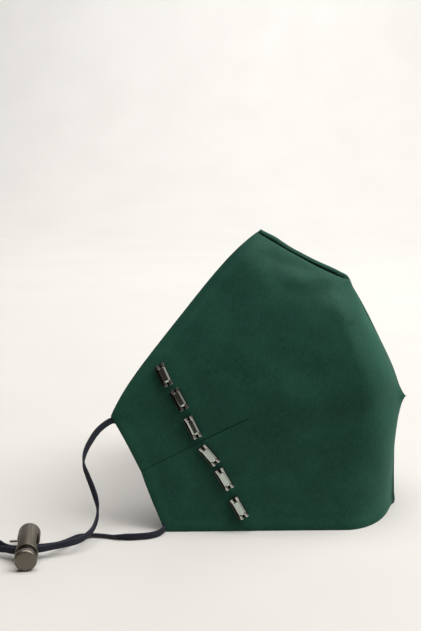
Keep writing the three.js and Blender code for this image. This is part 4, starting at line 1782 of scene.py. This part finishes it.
@dataclass(frozen=True)
class Studio:
    """Pale paper sweep, soft lights and the camera."""

    camera_at: Point = (55.3, -390.3, 170.0)
    camera_tilt: float = 78.0
    camera_turn: float = 12.0
    lens: float = 50.0
    sensor: float = 36.0
    clip_start: float = 10.0
    floor_half: float = 2600.0
    sweep_start: float = 900.0
    sweep_radius: float = 700.0
    sweep_height: float = 1500.0
    sweep_steps: int = 24
    air_shade: str = "#463f3a"
    air_light: str = "#c9c7c4"
    air_edge: Range = (0.45, 0.8)
    pale_way: Point = (0.9, 0.0, 0.436)
    lights: tuple[SoftLight, ...] = (
        SoftLight("window", at=(900, 700, 1100), aim=(0, 0, 40), size=900, power=7.5, colour="#fffefc"),
        SoftLight("lamp", at=(700, 0, 1100), aim=(0, 0, 60), size=700, power=13, colour="#fffefd"),
        SoftLight("ceiling", at=(-100, -40, 1500), aim=(0, 0, 0), size=1000, power=17, colour="#fffefd"),
        SoftLight("wall", at=(-200, 700, 1500), aim=(-500, 1600, 1000), size=700, power=25, colour="#fbfcff"),
    )

    def add_camera(self) -> None:
        """Add the camera at the photograph's angle."""
        data = bpy.data.cameras.new("camera")
        data.lens = self.lens
        data.sensor_width = self.sensor
        data.clip_start = self.clip_start * MM
        camera = bpy.data.objects.new("camera", data)
        camera.location = Vector(self.camera_at) * MM
        camera.rotation_euler = (math.radians(self.camera_tilt), 0, math.radians(self.camera_turn))
        bpy.context.scene.collection.objects.link(camera)
        bpy.context.scene.camera = camera

    def add_sweep(self, paper: MattPaper) -> None:
        """Add the paper: a flat floor that curves up behind the mask.

        Args:
            paper: Finish of the sweep.
        """
        turns = np.linspace(0, math.pi / 2, self.sweep_steps)
        floor = [(-self.floor_half, 0.0), (0.0, 0.0)]
        curve = [(self.sweep_start + self.sweep_radius * math.sin(t), self.sweep_radius * (1 - math.cos(t)))
                 for t in turns]
        profile = np.array([*floor, *curve, (self.sweep_start + self.sweep_radius, self.sweep_height)])
        points = np.concatenate([
            np.insert(profile, 0, -self.floor_half, axis=1), np.insert(profile, 0, self.floor_half, axis=1),
        ])
        count = len(profile)
        faces = [(i, i + count, i + count + 1, i + 1) for i in range(count - 1)]
        mesh_piece("paper_sweep", points, faces, paper.material())

    def add_air(self) -> None:
        """Fill the room for the mirrors: dark behind the camera, paler to the right."""
        world = bpy.data.worlds.new("studio_air")
        world.use_nodes = True
        tree = world.node_tree
        tree.nodes.clear()
        way = add_node(tree, "ShaderNodeTexCoord", {})
        facing = add_node(tree, "ShaderNodeVectorMath", {"operation": "DOT_PRODUCT", 1: self.pale_way},
                          {0: way.outputs["Generated"]})
        pale = stretched(tree, facing.outputs["Value"], self.air_edge, "SMOOTHSTEP")
        colour = blend(tree, pale, self.air_shade, self.air_light)
        light = add_node(tree, "ShaderNodeBackground", {}, {"Color": colour})
        add_node(tree, "ShaderNodeOutputWorld", {}, {"Surface": light.outputs["Background"]})
        bpy.context.scene.world = world

    def build(self) -> None:
        """Add the sweep, the lights and the air, with plain colour management."""
        bpy.context.scene.view_settings.view_transform = "Standard"
        self.add_sweep(MattPaper())
        self.add_air()
        for light in self.lights:
            light.build()
        LOG.info("studio: paper sweep, four soft lights and the air")


RIGHT_LOCK = CordLock(side=Side.RIGHT, x=-81.1, y=-96.9, heading=109.7, wire=True)
LEFT_LOCK = CordLock(side=Side.LEFT, x=-19.0, y=89.4, heading=-90.0, wire=False)

RIGHT_LOOP = EarLoop(
    lock=RIGHT_LOCK,
    from_ear=(
        (-61.3, -46.1, 46.9), (-66.1, -49, 43.7), (-69.2, -52, 39.1), (-70.9, -55, 34.4),
        (-70.6, -57.5, 30.6), (-68.1, -59.5, 26), (-65.7, -60.5, 20.9), (-63.7, -61.3, 14.2),
        (-63.4, -62.6, 9.4), (-63.7, -66.2, 6.4), (-64.5, -71.4, 5.5), (-66.7, -76.4, 5.1),
        (-70.9, -79.9, 4.8), (-75, -82.5, 4.6),
    ),
    bight=(
        (-93.8, -88.1, 4.1), (-97.2, -87, 3.4), (-101.6, -85.4, 2.7), (-107, -83.9, 2), (-110.6, -83, 1.7),
        (-113.5, -81.8, 1.6), (-115.6, -79.7, 1.6), (-115.6, -76.7, 1.6), (-113.5, -74.6, 1.6),
        (-110.5, -74.6, 1.7), (-106.8, -76.6, 2.3), (-103, -79.6, 3), (-98.6, -82.7, 3.6),
        (-94.3, -85.8, 3.9),
    ),
    to_hem=(
        (-75.2, -79.8, 3.7), (-73.2, -75.2, 2.8), (-71.7, -70.2, 2), (-69.6, -66, 1.6), (-66, -62.6, 1.2),
        (-61.9, -61.9, 1.1), (-57.4, -62, 1.1), (-53.2, -62.6, 1.4), (-49.1, -62.1, 1.6), (-45.3, -60.9, 1.6),
        (-41.5, -59.2, 1.6), (-38.9, -57, 1.6), (-37.5, -54.2, 1.6),
    ),
    leans=((183.0, 0.0), (190.0, 65.0), (200.0, 65.0), (206.0, 0.0)),
)
LEFT_LOOP = EarLoop(
    lock=LEFT_LOCK,
    from_ear=(
        (-61.3, 46.1, 46.9), (-65.2, 49.4, 43.4), (-66.6, 53, 38.6), (-66, 56.6, 33), (-64, 60, 27),
        (-61, 63.2, 20.6), (-57.4, 66.6, 14.4), (-53.2, 70.4, 9.4), (-47.8, 74.4, 6.4), (-40.8, 77.6, 5.2),
        (-32, 79.2, 4.7),
    ),
    bight=(
        (-5, 79.8, 3.4), (5, 81.4, 2.1), (14, 82.5, 1.6), (19.3, 82.4, 1.6), (22.2, 81.2, 1.6),
        (23.4, 78.3, 1.6), (22.2, 75.4, 1.6), (19.3, 74.2, 1.6), (14, 74.1, 1.6), (5, 75.4, 2.1),
        (-5, 77.2, 3.4),
    ),
    to_hem=(
        (-32.4, 76.6, 3.8), (-37.6, 73.4, 2.6), (-41.2, 68.6, 1.7), (-42, 62.8, 1.6), (-40.6, 58, 1.6),
        (-37.8, 54.2, 1.6),
    ),
)


def main() -> None:
    """Build the mask piece by piece, then its studio."""
    logging.basicConfig(level=logging.INFO, format="%(message)s")
    studio = Studio()
    studio.add_camera()
    cloth = ClothBody()
    gunmetal = BrushedGunmetal().material()
    elastic = BraidedElastic().material()
    for loop in (RIGHT_LOOP, LEFT_LOOP):
        loop.build(cloth, elastic, loop.lock.build(gunmetal))
    cloth.build(CottonSateen())
    StoneRow().build(cloth, PlatedSetting(), MirroredGlass())
    studio.build()


if __name__ == "__main__":
    main()
